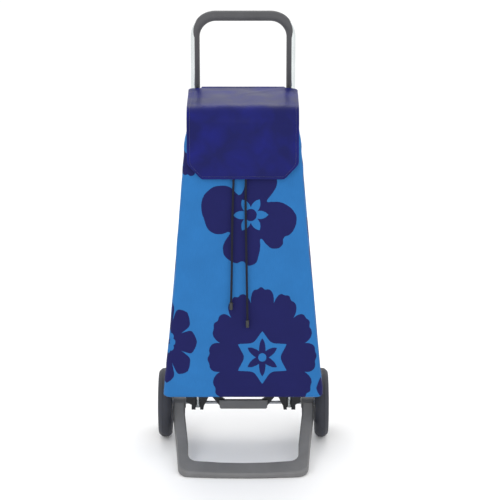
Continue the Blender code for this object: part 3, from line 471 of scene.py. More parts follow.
WAVY_PETAL = ((0, 0.80), (0.06, 0.89), (0.17, 0.955), (0.30, 0.975), (0.40, 0.965), (0.54, 1.0),
              (0.67, 0.975), (0.83, 0.96), (0.94, 0.89), (1, 0.80))
LEAF_PETAL = ((0, 0.42), (0.14, 0.62), (0.34, 0.85), (0.50, 1.0), (0.66, 0.85), (0.86, 0.62), (1, 0.42))
BROAD_PETAL = ((0, 0.54), (0.03, 0.66), (0.09, 0.85), (0.25, 0.93), (0.50, 1.0), (0.75, 0.93), (0.91, 0.85),
               (0.97, 0.66), (1, 0.54))
STAR_POINT = ((0, 0.66), (0.15, 0.69), (0.33, 0.81), (0.50, 1.0), (0.67, 0.81), (0.85, 0.69), (1, 0.66))
SLIM_PETAL = ((0, 0.38), (0.18, 0.56), (0.36, 0.82), (0.50, 1.0), (0.64, 0.82), (0.82, 0.56), (1, 0.38))
SCALLOP = ((0, 0.84), (0.2, 0.95), (0.5, 1.0), (0.8, 0.95), (1, 0.84))
ROUND = ((0, 1.0), (1, 1.0))
FOUR_HEARTS = ((0, 0.825), (0.015, 0.80), (0.04, 0.78), (0.07, 0.70), (0.092, 0.57), (0.108, 0.46),
               (0.119, 0.57), (0.14, 0.75), (0.17, 0.83), (0.20, 0.84), (0.222, 0.78), (0.24, 0.84),
               (0.26, 0.82), (0.28, 0.69),
               (0.30, 0.53), (0.315, 0.43), (0.328, 0.54), (0.35, 0.69), (0.38, 0.735), (0.405, 0.68),
               (0.425, 0.735), (0.455, 0.78), (0.485, 0.785), (0.51, 0.74), (0.536, 0.65), (0.563, 0.54),
               (0.59, 0.40), (0.608, 0.35), (0.622, 0.53), (0.64, 0.70), (0.67, 0.80), (0.70, 0.85),
               (0.74, 0.82), (0.772, 0.62), (0.80, 0.42), (0.835, 0.38), (0.853, 0.56), (0.88, 0.70),
               (0.92, 0.825), (0.953, 0.865), (0.985, 0.845), (1, 0.825))

# These come to a point in their middle.
POINTED = (LEAF_PETAL, BROAD_PETAL, STAR_POINT, SLIM_PETAL)

# Each layer is (petals, outline, share of the width, share of the height, turn), dark and light by turns.
FLOWERS = {
    "hearts": ((1, FOUR_HEARTS, 1.0, 1.0, 0.0), (6, LEAF_PETAL, 0.30, 0.29, 0.5),
               (1, ROUND, 0.10, 0.10, 0.0)),
    "petals": ((1, FOUR_HEARTS, 1.0, 1.0, 0.0),),
    "dahlia": ((12, WAVY_PETAL, 1.0, 1.0, 0.5), (6, STAR_POINT, 0.51, 0.375, 0.0),
               (6, SLIM_PETAL, 0.31, 0.275, 0.0), (1, ROUND, 0.075, 0.060, 0.0)),
    "daisy": ((8, BROAD_PETAL, 1.0, 1.0, 0.5), (9, SCALLOP, 0.32, 0.28, 0.0),
              (6, SLIM_PETAL, 0.13, 0.11, 0.0)),
}

# Where each flower is printed, in metres: kind, distance round from the middle of the front, height,
# half width, half height.
PRINT_PLACES = (
    ("hearts", 0.0175, 0.620, 0.130, 0.140),
    ("dahlia", 0.0434, 0.2865, 0.124, 0.166),
    ("daisy", -0.176, 0.323, 0.072, 0.098),
    ("petals", -0.113, 0.746, 0.060, 0.044),
    ("daisy", 0.236, 0.214, 0.070, 0.082),
    ("dahlia", -0.300, 0.540, 0.098, 0.112),
    ("hearts", -0.385, 0.300, 0.120, 0.120),
    ("daisy", -0.365, 0.700, 0.062, 0.072),
    ("hearts", 0.262, 0.470, 0.118, 0.124),
    ("daisy", 0.222, 0.690, 0.058, 0.070),
    ("dahlia", 0.432, 0.300, 0.118, 0.132),
    ("hearts", 0.372, 0.660, 0.090, 0.096),
)


def printed_flower(tree, place, kind, across, height, half_width, half_height):
    """One flower of the print: 1 where there is dark ink."""
    ink = None
    for petals, outline, wide, tall, turn in FLOWERS[kind]:
        shares = (1 / (half_width * wide), 1 / (half_height * tall), 0.0)
        local = add_node(
            tree,
            "ShaderNodeVectorMath",
            {0: place, 1: shares, 2: (-across * shares[0], -height * shares[1], 0.0)},
            operation="MULTIPLY_ADD",
        )
        reach = add_node(
            tree, "ShaderNodeVectorMath", {0: local.outputs[0]}, operation="LENGTH"
        ).outputs["Value"]
        parts = add_node(tree, "ShaderNodeSeparateXYZ", {0: local.outputs[0]})
        angle = add_node(
            tree, "ShaderNodeMath", {0: parts.outputs["Y"], 1: parts.outputs["X"]}, operation="ARCTAN2"
        )
        share = add_node(
            tree,
            "ShaderNodeMath",
            {0: angle.outputs[0], 1: petals / (2 * math.pi), 2: petals / 2 + turn},
            operation="MULTIPLY_ADD",
        )
        petal = add_node(tree, "ShaderNodeMath", {0: share.outputs[0]}, operation="FRACT")
        edge = add_node(tree, "ShaderNodeFloatCurve", {"Value": petal.outputs[0]})
        curve = edge.mapping.curves[0]
        curve.points[0].location = outline[0]
        curve.points[1].location = outline[-1]
        for where, far in outline[1:-1]:
            spot = curve.points.new(where, far)
            if where == 0.5 and outline in POINTED:
                spot.handle_type = "VECTOR"
        edge.mapping.update()
        inside = add_node(
            tree, "ShaderNodeMath", {0: reach, 1: edge.outputs["Value"]}, operation="LESS_THAN"
        )
        if ink is None:
            ink = inside.outputs[0]
            sign = "SUBTRACT"
            continue
        ink = add_node(tree, "ShaderNodeMath", {0: ink, 1: inside.outputs[0]}, operation=sign).outputs[0]
        sign = "ADD" if sign == "SUBTRACT" else "SUBTRACT"
    return ink


@finish_once
def printed_canvas():
    """Polyester canvas, woven, printed and coated inside: matt, plainly woven, with slightly soaked ink."""
    colours = bpy.context.scene.trolley_colours
    material, tree, shader = new_finish(
        "polyester canvas printed, woven",
        Base_Color=(*colours.canvas_blue, 1.0),
        Roughness=0.75,
        IOR=1.45,
        Specular_IOR_Level=0.15,
        Sheen_Weight=0.02,
        Sheen_Roughness=0.5,
    )
    cloth = add_node(tree, "ShaderNodeAttribute", attribute_name="cloth").outputs["Vector"]
    lining = add_node(tree, "ShaderNodeAttribute", attribute_name="lining").outputs["Fac"]
    # Ink soaks along the threads, so each edge wanders by about half a millimetre.
    soak = add_node(tree, "ShaderNodeTexNoise", {"Vector": cloth, "Scale": per_mm(4), "Detail": 3.0})
    wander = add_node(
        tree,
        "ShaderNodeVectorMath",
        {0: soak.outputs["Color"], 1: (0.0012, 0.0012, 0.0), 2: (-0.0006, -0.0006, 0.0)},
        operation="MULTIPLY_ADD",
    )
    place = add_node(
        tree, "ShaderNodeVectorMath", {0: cloth, 1: wander.outputs[0]}, operation="ADD"
    ).outputs[0]
    ink = None
    for flower in PRINT_PLACES:
        one = printed_flower(tree, place, *flower)
        if ink is None:
            ink = one
        else:
            ink = add_node(tree, "ShaderNodeMath", {0: ink, 1: one}, operation="MAXIMUM").outputs[0]
    # The real thread spacing is about 0.5 mm; it is drawn at 1.1 mm so that it shows.
    thread = 2 * math.pi * per_mm(1.1)
    parts = add_node(tree, "ShaderNodeSeparateXYZ", {0: cloth})
    warp = add_node(tree, "ShaderNodeMath", {0: parts.outputs["X"], 1: thread}, operation="MULTIPLY")
    weft = add_node(tree, "ShaderNodeMath", {0: parts.outputs["Y"], 1: thread}, operation="MULTIPLY")
    warp_wave = add_node(tree, "ShaderNodeMath", {0: warp.outputs[0]}, operation="SINE")
    weft_wave = add_node(tree, "ShaderNodeMath", {0: weft.outputs[0]}, operation="SINE")
    weave = add_node(
        tree, "ShaderNodeMath", {0: warp_wave.outputs[0], 1: weft_wave.outputs[0]}, operation="MULTIPLY"
    )
    slub_place = add_node(
        tree, "ShaderNodeMapping", {"Vector": cloth, "Scale": (per_mm(1.2), per_mm(18), 1.0)}
    )
    slub = add_node(
        tree, "ShaderNodeTexNoise", {"Vector": slub_place.outputs["Vector"], "Scale": 1.0, "Detail": 4.0}
    )
    cloud = add_node(tree, "ShaderNodeTexNoise", {"Vector": cloth, "Scale": per_mm(70), "Detail": 4.0})
    dye = add_node(
        tree,
        "ShaderNodeMix",
        {0: ink, 6: (*colours.canvas_blue, 1.0), 7: (*colours.print_indigo, 1.0)},
        data_type="RGBA",
    ).outputs[2]
    dye = add_node(
        tree, "ShaderNodeMix", {0: lining, 6: dye, 7: linear("#4F7AA8")}, data_type="RGBA"
    ).outputs[2]
    lit = add_node(
        tree,
        "ShaderNodeMath",
        {
            0: add_node(
                tree, "ShaderNodeMapRange", {0: slub.outputs["Fac"], 1: 0.25, 2: 0.75, 3: 0.955, 4: 1.045}
            ).outputs[0],
            1: add_node(
                tree, "ShaderNodeMapRange", {0: cloud.outputs["Fac"], 1: 0.3, 2: 0.7, 3: 0.95, 4: 1.05}
            ).outputs[0],
        },
        operation="MULTIPLY",
    )
    lit = add_node(
        tree,
        "ShaderNodeMath",
        {
            0: lit.outputs[0],
            1: add_node(
                tree, "ShaderNodeMapRange", {0: weave.outputs[0], 1: -1.0, 2: 1.0, 3: 0.97, 4: 1.03}
            ).outputs[0],
        },
        operation="MULTIPLY",
    )
    tone = add_node(tree, "ShaderNodeHueSaturation", {"Value": lit.outputs[0], "Color": dye})
    tree.links.new(tone.outputs["Color"], shader.inputs["Base Color"])
    rough = add_node(tree, "ShaderNodeMapRange", {0: ink, 1: 0.0, 2: 1.0, 3: 0.78, 4: 0.70}).outputs[0]
    tree.links.new(rough, shader.inputs["Roughness"])
    height = add_node(
        tree, "ShaderNodeMath", {0: weave.outputs[0], 1: slub.outputs["Fac"]}, operation="ADD"
    )
    bump = add_node(
        tree, "ShaderNodeBump", {"Height": height.outputs[0], "Strength": 0.35, "Distance": 0.00015}
    )
    tree.links.new(bump.outputs["Normal"], shader.inputs["Normal"])
    return material


# ---------------------------------------------------------------- mesh making


def piece(name, mesh, finish, body=None):
    """A new piece of the trolley with its finish, on its body."""
    made = bpy.data.objects.new(name, mesh)
    bpy.context.scene.collection.objects.link(made)
    mesh.materials.clear()
    mesh.materials.append(finish)
    if body:
        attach(made, body)
    return made


def grid_mesh(name, grid, around=False, closed=False, ends=False, corners=None, rows_hold=None):
    """A smooth mesh on a grid of points. The columns or the rows may close on themselves.

    Corners are a name and a vector for each point, with one more column than the grid.
    What the rows hold is a name and a number for each row.
    """
    rows, columns = grid.shape[:2]
    index = np.arange(rows * columns).reshape(rows, columns)
    if around:
        index = np.hstack([index, index[:, :1]])
    if closed:
        index = np.vstack([index, index[:1]])
    faces = np.stack(
        [index[:-1, :-1], index[:-1, 1:], index[1:, 1:], index[1:, :-1]], axis=-1
    ).reshape(-1, 4)
    faces = faces.tolist()
    if ends:
        faces.append(index[0, :columns].tolist()[::-1])
        faces.append(index[-1, :columns].tolist())
    mesh = bpy.data.meshes.new(name)
    mesh.from_pydata(grid.reshape(-1, 3).tolist(), [], faces)
    mesh.update()
    if corners:
        label, spots = corners
        around_quad = np.stack([spots[:-1, :-1], spots[:-1, 1:], spots[1:, 1:], spots[1:, :-1]], axis=2)
        flat = np.concatenate([around_quad.reshape(-1, 3), spots[0, :-1][::-1], spots[-1, :-1]])
        held = mesh.attributes.new(label, "FLOAT_VECTOR", "CORNER")
        held.data.foreach_set("vector", flat.astype(np.float32).ravel())
    if rows_hold:
        label, numbers = rows_hold
        held = mesh.attributes.new(label, "FLOAT", "POINT")
        held.data.foreach_set("value", np.repeat(numbers, columns).astype(np.float32))
    face_out(mesh)
    mesh.shade_smooth()
    return mesh


def face_out(mesh):
    """Turns a closed mesh's faces outwards."""
    shape = bmesh.new()
    shape.from_mesh(mesh)
    bmesh.ops.remove_doubles(shape, verts=shape.verts, dist=1e-7)
    bmesh.ops.recalc_face_normals(shape, faces=shape.faces)
    shape.to_mesh(mesh)
    shape.free()


def joined(name, meshes):
    """Several meshes as one."""
    shape = bmesh.new()
    for mesh in meshes:
        shape.from_mesh(mesh)
        bpy.data.meshes.remove(mesh)
    mesh = bpy.data.meshes.new(name)
    shape.to_mesh(mesh)
    shape.free()
    mesh.shade_smooth()
    return mesh


def turned_mesh(name, profile, centre, along, count=96, hollow=False):
    """A profile of (station, radius) points turned about an axis through the centre."""
    turns = np.arange(count) * 2 * math.pi / count
    grid = np.zeros((len(profile), count, 3))
    first, second = [i for i in range(3) if i != along]
    for row, (station, radius) in enumerate(profile):
        grid[row, :, along] = station
        grid[row, :, first] = radius * np.cos(turns)
        grid[row, :, second] = radius * np.sin(turns)
    grid += np.array(centre)
    return grid_mesh(name, grid, around=True, closed=hollow, ends=not hollow)


def rounded_profile(profile, edge, steps=4):
    """The profile with each corner rounded by this radius, as a closed line."""
    points = [Vector(p) for p in profile]
    out = []
    for i, here in enumerate(points):
        before, after = points[i - 1] - here, points[(i + 1) % len(points)] - here
        cut = min(edge, before.length * 0.45, after.length * 0.45)
        start, end = here + before.normalized() * cut, here + after.normalized() * cut
        for k in range(steps + 1):
            t = k / steps
            out.append(tuple(start * (1 - t) ** 2 + here * 2 * t * (1 - t) + end * t**2))
    return out


def waves(across, up, size, seed, count=7):
    """Soft unevenness between about -1 and 1, with features of this size in metres."""
    rng = np.random.default_rng(seed)
    total = np.zeros(np.broadcast(across, up).shape)
    for _ in range(count):
        turn = rng.uniform(0, 2 * math.pi)
        pace = 2 * math.pi / (size * rng.uniform(0.7, 1.6))
        shift = rng.uniform(0, 2 * math.pi)
        total = total + np.sin((across * math.cos(turn) + up * math.sin(turn)) * pace + shift)
    return total / math.sqrt(count)


def grid_normals(grid, around):
    """Unit normals of a grid of points, by its neighbours."""
    if around:
        across = np.roll(grid, -1, axis=1) - np.roll(grid, 1, axis=1)
    else:
        across = np.gradient(grid, axis=1)
    along = np.gradient(grid, axis=0)
    normal = np.cross(across, along)
    return normal / np.maximum(np.linalg.norm(normal, axis=-1, keepdims=True), 1e-12)


def smooth_step(value, low, high):
    """0 below the range, 1 above it, and a smooth rise between."""
    share = np.clip((value - low) / (high - low), 0, 1)
    return share * share * (3 - 2 * share)


def line_at(points, spacing):
    """Points this far apart on a smooth line through the given ones."""
    points = [np.array(p, float) for p in points]
    full = [2 * points[0] - points[1], *points, 2 * points[-1] - points[-2]]
    fine = []
    for a, b, c, d in zip(full, full[1:], full[2:], full[3:]):
        for k in range(24):
            t = k / 24
            fine.append(
                0.5 * (
                    2 * b + (c - a) * t + (
                        2 * a - 5 * b + 4 * c - d
                    ) * t**2 + (3 * b - a - 3 * c + d) * t**3
                )
            )
    fine = np.array([*fine, points[-1]])
    steps = np.r_[0, np.cumsum(np.linalg.norm(np.diff(fine, axis=0), axis=1))]
    count = max(2, int(round(steps[-1] / spacing)) + 1)
    at = np.linspace(0, steps[-1], count)
    return np.stack([np.interp(at, steps, fine[:, i]) for i in range(3)], axis=1), steps[-1]


def tube_along(name, line, radius, sides=24, relief=None):
    """A tube along a line. The relief adds to its radius, from the distance along and the turn round."""
    tangent = np.gradient(line, axis=0)
    tangent /= np.linalg.norm(tangent, axis=1, keepdims=True)
    side = np.array([1.0, 0.0, 0.0]) if abs(tangent[0, 0]) < 0.9 else np.array([0.0, 0.0, 1.0])
    rows = []
    length = 0.0
    turns = np.arange(sides) * 2 * math.pi / sides
    for i, point in enumerate(line):
        if i:
            length += np.linalg.norm(point - line[i - 1])
        side = side - tangent[i] * (side @ tangent[i])
        side /= np.linalg.norm(side)
        other = np.cross(tangent[i], side)
        reach = radius + (relief(length, turns) if relief else 0.0)
        reach = np.broadcast_to(reach, turns.shape)[:, None]
        rows.append(point + reach * (np.cos(turns)[:, None] * side + np.sin(turns)[:, None] * other))
    return grid_mesh(name, np.array(rows), around=True, ends=True)


def stitch_row(name, line, outward, stitch=0.0032, space=0.0012, thickness=0.00032):
    """A row of lockstitches as one mesh: each is a short thread, sunk at both ends."""
    steps = np.r_[0, np.cumsum(np.linalg.norm(np.diff(line, axis=0), axis=1))]
    starts = np.arange(space, steps[-1] - stitch, stitch + space)
    verts, faces = [], []
    profile = ((0.0, -0.9, 0.35), (0.12, 0.2, 0.9), (0.5, 0.7, 1.0), (0.88, 0.2, 0.9), (1.0, -0.9, 0.35))
    for start in starts:
        base = len(verts)
        for share, lift, width in profile:
            at = start + share * stitch
            middle = np.array([np.interp(at, steps, line[:, i]) for i in range(3)])
            out = np.array([np.interp(at, steps, outward[:, i]) for i in range(3)])
            ahead_point = np.array([np.interp(at + 1e-4, steps, line[:, i]) for i in range(3)])
            way = ahead_point - middle
            way /= max(np.linalg.norm(way), 1e-12)
            cross = np.cross(way, out)
            for k in range(6):
                turn = math.pi / 3 * k
                spot = middle + out * lift * thickness
                spot = spot + (cross * math.cos(turn) + out * math.sin(turn)) * thickness * width
                verts.append(spot.tolist())
        for ring in range(len(profile) - 1):
            for k in range(6):
                a, b = base + ring * 6 + k, base + ring * 6 + (k + 1) % 6
                faces.append((a, b, b + 6, a + 6))
        faces.append([base + k for k in reversed(range(6))])
        faces.append([base + 6 * (len(profile) - 1) + k for k in range(6)])
    mesh = bpy.data.meshes.new(name)
    mesh.from_pydata(verts, [], faces)
    mesh.update()
    mesh.shade_smooth()
    return mesh


def soften_edges(name, width, finish):
    """Gives a carried-over CAD node its finish, and rounds its moulded edges."""
    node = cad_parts[name]
    node.data.materials.clear()
    node.data.materials.append(finish)
    node.data.polygons.foreach_set("material_index", [0] * len(node.data.polygons))
    node.data.shade_smooth()
    node.data.set_sharp_from_angle(angle=SHARP_ANGLE)
    if width:
        weld = node.modifiers.new("Weld", "WELD")
        weld.merge_threshold = 1e-6
        bevel = node.modifiers.new("Moulded edge", "BEVEL")
        bevel.width = width
        bevel.segments = 2
        bevel.limit_method = "ANGLE"
        bevel.angle_limit = SHARP_ANGLE
        bevel.harden_normals = False
        smooth = node.modifiers.new("Flat faces kept flat", "WEIGHTED_NORMAL")
        smooth.weight = 60
    return node

# ---------------------------------------------------------------- stage


def lamp(name, place, aim, size, power):
    """A white softbox aimed at a place."""
    data = bpy.data.lights.new(name, "AREA")
    data.shape = "RECTANGLE"
    data.size, data.size_y = size
    data.energy = power
    made = bpy.data.objects.new(name, data)
    made.location = place
    made.rotation_euler = (Vector(aim) - Vector(place)).to_track_quat("-Z", "Y").to_euler()
    bpy.context.scene.collection.objects.link(made)
    return made


def make_camera():
    """A long lens from the front, a little above and looking down."""
    data = bpy.data.cameras.new("Studio camera")
    data.sensor_width = 36.0
    data.lens = 139.8
    data.clip_start, data.clip_end = 0.05, 60.0
    made = bpy.data.objects.new("Studio camera", data)
    made.location = (0.0156, -4.2195, 1.9235)
    made.rotation_euler = (math.radians(90 - 18.67), 0.0, 0.0)
    bpy.context.scene.collection.objects.link(made)
    bpy.context.scene.camera = made


def make_stage():
    """A pale floor, a white surround and three soft lamps."""
    stage = bpy.context.scene.trolley_stage
    size = stage.floor_size / 2
    mesh = bpy.data.meshes.new("studio_floor")
    mesh.from_pydata(
        [(-size, -size, 0), (size, -size, 0), (size, size, 0), (-size, size, 0)], [], [(0, 1, 2, 3)]
    )
    floor = bpy.data.objects.new("studio_floor", mesh)
    bpy.context.scene.collection.objects.link(floor)
    material, _, _ = new_finish(
        "studio paper, pale", Base_Color=(*stage.floor_colour, 1.0), Roughness=0.9, Specular_IOR_Level=0.1
    )
    mesh.materials.append(material)

    world = bpy.data.worlds.new("Studio surround")
    world.use_nodes = True
    tree = world.node_tree
    tree.nodes.clear()
    way = add_node(tree, "ShaderNodeTexCoord").outputs["Generated"]
    parts = add_node(tree, "ShaderNodeSeparateXYZ", {0: way})
    side = add_node(tree, "ShaderNodeMath", {0: parts.outputs["X"]}, operation="ABSOLUTE")
    # A little less light from the sides shapes the legs and the tube.
    dark = add_node(
        tree, "ShaderNodeMapRange", {0: side.outputs[0], 1: 0.55, 2: 0.95, 3: 1.0, 4: 0.93}
    ).outputs[0]
    strength = add_node(tree, "ShaderNodeMath", {0: dark, 1: stage.surround}, operation="MULTIPLY")
    glow = add_node(
        tree, "ShaderNodeBackground", {"Color": linear("#FFFFFF"), "Strength": strength.outputs[0]}
    )
    add_node(tree, "ShaderNodeOutputWorld", {"Surface": glow.outputs["Background"]})
    bpy.context.scene.world = world

    lamp("Key softbox", (-1.6, -2.4, 2.4), (0, 0, 0.5), (1.4, 1.4), stage.key_power)
    lamp("Fill softbox", (2.0, -2.2, 1.3), (0, 0, 0.5), (1.4, 1.8), stage.fill_power)
    lamp("Top softbox", (0.0, 1.6, 2.3), (0, -0.05, 0.8), (2.2, 1.0), stage.top_power)
    bpy.context.scene.view_settings.view_transform = "Standard"


# ---------------------------------------------------------------- drawstrings
# Each route is x, distance ahead of the axle, and height, in metres.

DRAWSTRINGS = {
    "left": (
        (-0.0140, 0.1640, 0.8548), (-0.0140, 0.1700, 0.8546), (-0.0142, 0.1800, 0.8490),
        (-0.0146, 0.1900, 0.8370), (-0.0152, 0.1985, 0.8190), (-0.0160, 0.2035, 0.8000),
        (-0.0168, 0.2050, 0.7780), (-0.0186, 0.2068, 0.7400), (-0.0206, 0.2082, 0.7000),
        (-0.0222, 0.2104, 0.6500), (-0.0236, 0.2126, 0.6000), (-0.0244, 0.2148, 0.5500),
        (-0.0250, 0.2172, 0.5000), (-0.0260, 0.2196, 0.4500), (-0.0268, 0.2215, 0.4205),
    ),
    "right": (
        (0.0140, 0.1640, 0.8548), (0.0140, 0.1700, 0.8546), (0.0137, 0.1800, 0.8490),
        (0.0130, 0.1900, 0.8370), (0.0120, 0.1985, 0.8190), (0.0108, 0.2035, 0.8000),
        (0.0096, 0.2050, 0.7780), (0.0078, 0.2068, 0.7400), (0.0064, 0.2082, 0.7000),
        (0.0058, 0.2104, 0.6500), (0.0064, 0.2126, 0.6000), (0.0072, 0.2148, 0.5500),
        (0.0080, 0.2172, 0.5000), (0.0088, 0.2196, 0.4500), (0.0094, 0.2216, 0.4100),
        (0.0098, 0.2234, 0.3785),
    ),
}


def make_drawstring(side):
    """One drawstring with its end and its eyelet."""
    sizes = bpy.context.scene.trolley_sizes
    route = [(x, ahead(out), z) for x, out, z in DRAWSTRINGS[side]]
    line, length = line_at(route, 0.0008)
    inward = np.array([route[0][0], route[0][1] + CORD_INSIDE, route[0][2]])
    line = np.vstack([np.linspace(inward, line[0], 6, endpoint=False), line])
    length += CORD_INSIDE
    radius = sizes.cord_diameter / 2
    depth, strands, pitch = 0.00028, 4, 0.0135

    def braid(distance, turns):
        lay = 2 * math.pi * distance / pitch * 2
        over = np.maximum(np.abs(np.sin(strands * turns + lay)), np.abs(np.sin(strands * turns - lay)))
        return (over - 1.0) * depth

    cord = piece(
        f"{side}_drawstring_braid",
        tube_along(f"{side}_drawstring_braid", line, radius, 32, braid),
        braided_polyester(),
        "frame",
    )
    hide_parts(f"{side}_drawstring")

    low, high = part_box(f"{side}_cord_end")
    middle = ((low[0] + high[0]) / 2, (low[1] + high[1]) / 2, high[2])
    reach = (high[0] - low[0]) / 2
    tall = high[2] - low[2]
    profile = [
        (0.0, reach * 0.62), (-0.0003, reach * 0.76), (-0.0010, reach * 0.93), (-0.0022, reach * 0.98),
        (-0.0040, reach * 0.985), (-0.0044, reach * 0.90), (-0.0052, reach * 0.90), (-0.0056, reach * 0.985),
        (-0.0068, reach), (0.0030 - tall, reach), (0.0016 - tall, reach * 0.97),
        (0.0006 - tall, reach * 0.86), (0.0001 - tall, reach * 0.66), (-tall, reach * 0.5),
        (0.0012 - tall, reach * 0.42),
    ]
    end = piece(
        f"{side}_cord_stop",
        turned_mesh(f"{side}_cord_stop", profile, middle, 2, 40),
        cord_end_plastic(),
        "frame",
    )
    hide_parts(f"{side}_cord_end")
    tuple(route[0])

    low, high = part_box(f"{side}_eyelet")
    reach = (high[0] - low[0]) / 2
    hole = sizes.cord_diameter / 2 + 0.0004
    middle = ((low[0] + high[0]) / 2, 0.0, (low[2] + high[2]) / 2)
    face = low[1]
    flange = [
        (face + 0.0014, hole), (face + 0.0003, hole), (face, hole + 0.0005), (face + 0.0001, hole + 0.0010),
        (face + 0.0007, reach - 0.0009), (face + 0.0010, reach - 0.0002), (face + 0.0013, reach),
        (face + 0.0015, reach - 0.0003), (face + 0.0015, hole + 0.0006),
    ]
    ring = piece(
        f"{side}_eyelet_ring",
        turned_mesh(f"{side}_eyelet_ring", flange, middle, 1, 48, hollow=True),
        nickel_brass(),
        "frame",
    )
    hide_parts(f"{side}_eyelet")


# ---------------------------------------------------------------- handle


def handle_line(low):
    """Points and outward directions up one leg, over the bar and down the other."""
    sizes = bpy.context.scene.trolley_sizes
    radius = (TUBE_HIGH[1] - TUBE_LOW[1]) / 2
    half, top = TUBE_HIGH[0] - radius, TUBE_HIGH[2] - radius
    bend = sizes.handle_bend
    spots = []
    for z in np.arange(low, top - bend, 0.02):
        spots.append((half, z, 0.0))
    for turn in np.linspace(0, math.pi / 2, 25):
        spots.append((half - bend + bend * math.cos(turn), top - bend + bend * math.sin(turn), turn))
    mirror = [(-x, z, math.pi - turn) for x, z, turn in reversed(spots)]
    flat = [(x, top, math.pi / 2) for x in np.linspace(half - bend, bend - half, 9)[1:-1]]
    spots = spots + flat + mirror
    points = np.array([(x, TUBE_Y, z) for x, z, _ in spots])
    outward = np.array([(math.cos(turn), 0.0, math.sin(turn)) for _, _, turn in spots])
    return points, outward


def make_handle():
    """The bent tube, and the sleeve that closes round the bar and opens along the legs."""
    back = np.array([0.0, 1.0, 0.0])
    radius = (TUBE_HIGH[1] - TUBE_LOW[1]) / 2
    points, outward = handle_line(TUBE_LOW[2])
    turns = np.arange(64) * 2 * math.pi / 64
    rows = []
    for reach, order in ((radius, 1), (radius - TUBE_WALL, -1)):
        for point, out in list(zip(points, outward))[::order]:
            rows.append(point + reach * (np.cos(turns)[:, None] * out + np.sin(turns)[:, None] * back))
    tube = piece(
        "bent_tube",
        grid_mesh("bent_tube", np.array(rows), around=True, closed=True),
        anodised_aluminium(),
        "frame",
    )
    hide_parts("handle_tube")

    outer = (GRIP_HIGH[1] - GRIP_LOW[1]) / 2
    inner = radius + GRIP_FIT
    points, outward = handle_line(GRIP_LOW[2])
    rows = []
    for point, out in zip(points, outward):
        opening = math.radians(0.4) + (math.pi - math.radians(0.4)) * (1 - out[2])
        spread = np.linspace(opening / 2, 2 * math.pi - opening / 2, 49)
        lip = 0.0006 / outer
        ring = [
            (outer - 0.0006, spread[0]),
            *[(outer, t) for t in np.linspace(spread[0] + lip, spread[-1] - lip, 47)],
        ]
        ring += [(outer - 0.0006, spread[-1]), (inner, spread[-1])]
        ring += [(inner, t) for t in spread[::-1][1:]]
        rows.append([point + r * (math.cos(t) * out + math.sin(t) * back) for r, t in ring])
    grip = piece(
        "hand_grip_sleeve",
        grid_mesh("hand_grip_sleeve", np.array(rows), around=True, ends=True),
        grip_vinyl(),
        "frame",
    )
    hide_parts("handle_grip")


# ---------------------------------------------------------------- bag


def bag_outline(half, front, back, corner, counts=(30, 7, 30)):
    """Points (x, ahead) round a section from the middle of the back, and each one's way from the front."""
    flat, round_steps, side = counts
    turns = np.linspace(0, math.pi / 2, round_steps + 1)
    xs = [np.linspace(0, half - corner, flat, endpoint=False)]
    outs = [np.full(flat, front)]
    xs.append(half - corner + corner * np.sin(turns[:-1]))
    outs.append(front - corner + corner * np.cos(turns[:-1]))
    xs.append(np.full(side, half))
    outs.append(np.linspace(front - corner, back + corner, side, endpoint=False))
    xs.append(half - corner + corner * np.cos(turns[:-1]))
    outs.append(back + corner - corner * np.sin(turns[:-1]))
    xs.append(np.linspace(half - corner, 0, flat + 1))
    outs.append(np.full(flat + 1, back))
    x, out = np.concatenate(xs), np.concatenate(outs)
    way = np.r_[0, np.cumsum(np.hypot(np.diff(x), np.diff(out)))]
    x = np.r_[-x[::-1][:-1], x]
    out = np.r_[out[::-1][:-1], out]
    way = np.r_[-way[::-1][:-1], way]
    return x, out, way


def bag_section(z):
    """Half width, front and back of the bag at this height."""
    sizes = bpy.context.scene.trolley_sizes
    low, mouth = BAG_LOW[2], BAG_HIGH[2]
    shoulder = low + sizes.bag_height
    neck = mouth - shoulder
    half = BAG_HIGH[0]
    front, back = AXLE_Y - BAG_LOW[1], AXLE_Y - BAG_HIGH[1]
    heights = [low, low + BAG_EDGE] + [shoulder + neck * rise for rise, _ in NECK_CURVE]
    shares = [share for _, share in NECK_CURVE]
    wide = [half - BAG_EDGE, half] + [SHOULDER_HALF + (MOUTH_HALF - SHOULDER_HALF) * s for s in shares]
    fore = [front - BAG_EDGE, front] + [
        SHOULDER_FRONT + (MOUTH_FRONT - SHOULDER_FRONT) * s for s in shares
    ]
    rear = [back + BAG_EDGE, back] + [back + (MOUTH_BACK - back) * s for s in shares]
    spread = np.linspace(-0.006, 0.006, 7)
    near = np.clip(np.asarray(z)[..., None] + spread, low, mouth)
    keep = np.minimum(np.asarray(z) - low, mouth - np.asarray(z))
    blur = [np.interp(near, heights, side).mean(-1) for side in (wide, fore, rear)]
    sharp = [np.interp(z, heights, side) for side in (wide, fore, rear)]
    share = smooth_step(keep, 0.0, 0.010)
    return [b * share + s * (1 - share) for b, s in zip(blur, sharp)]


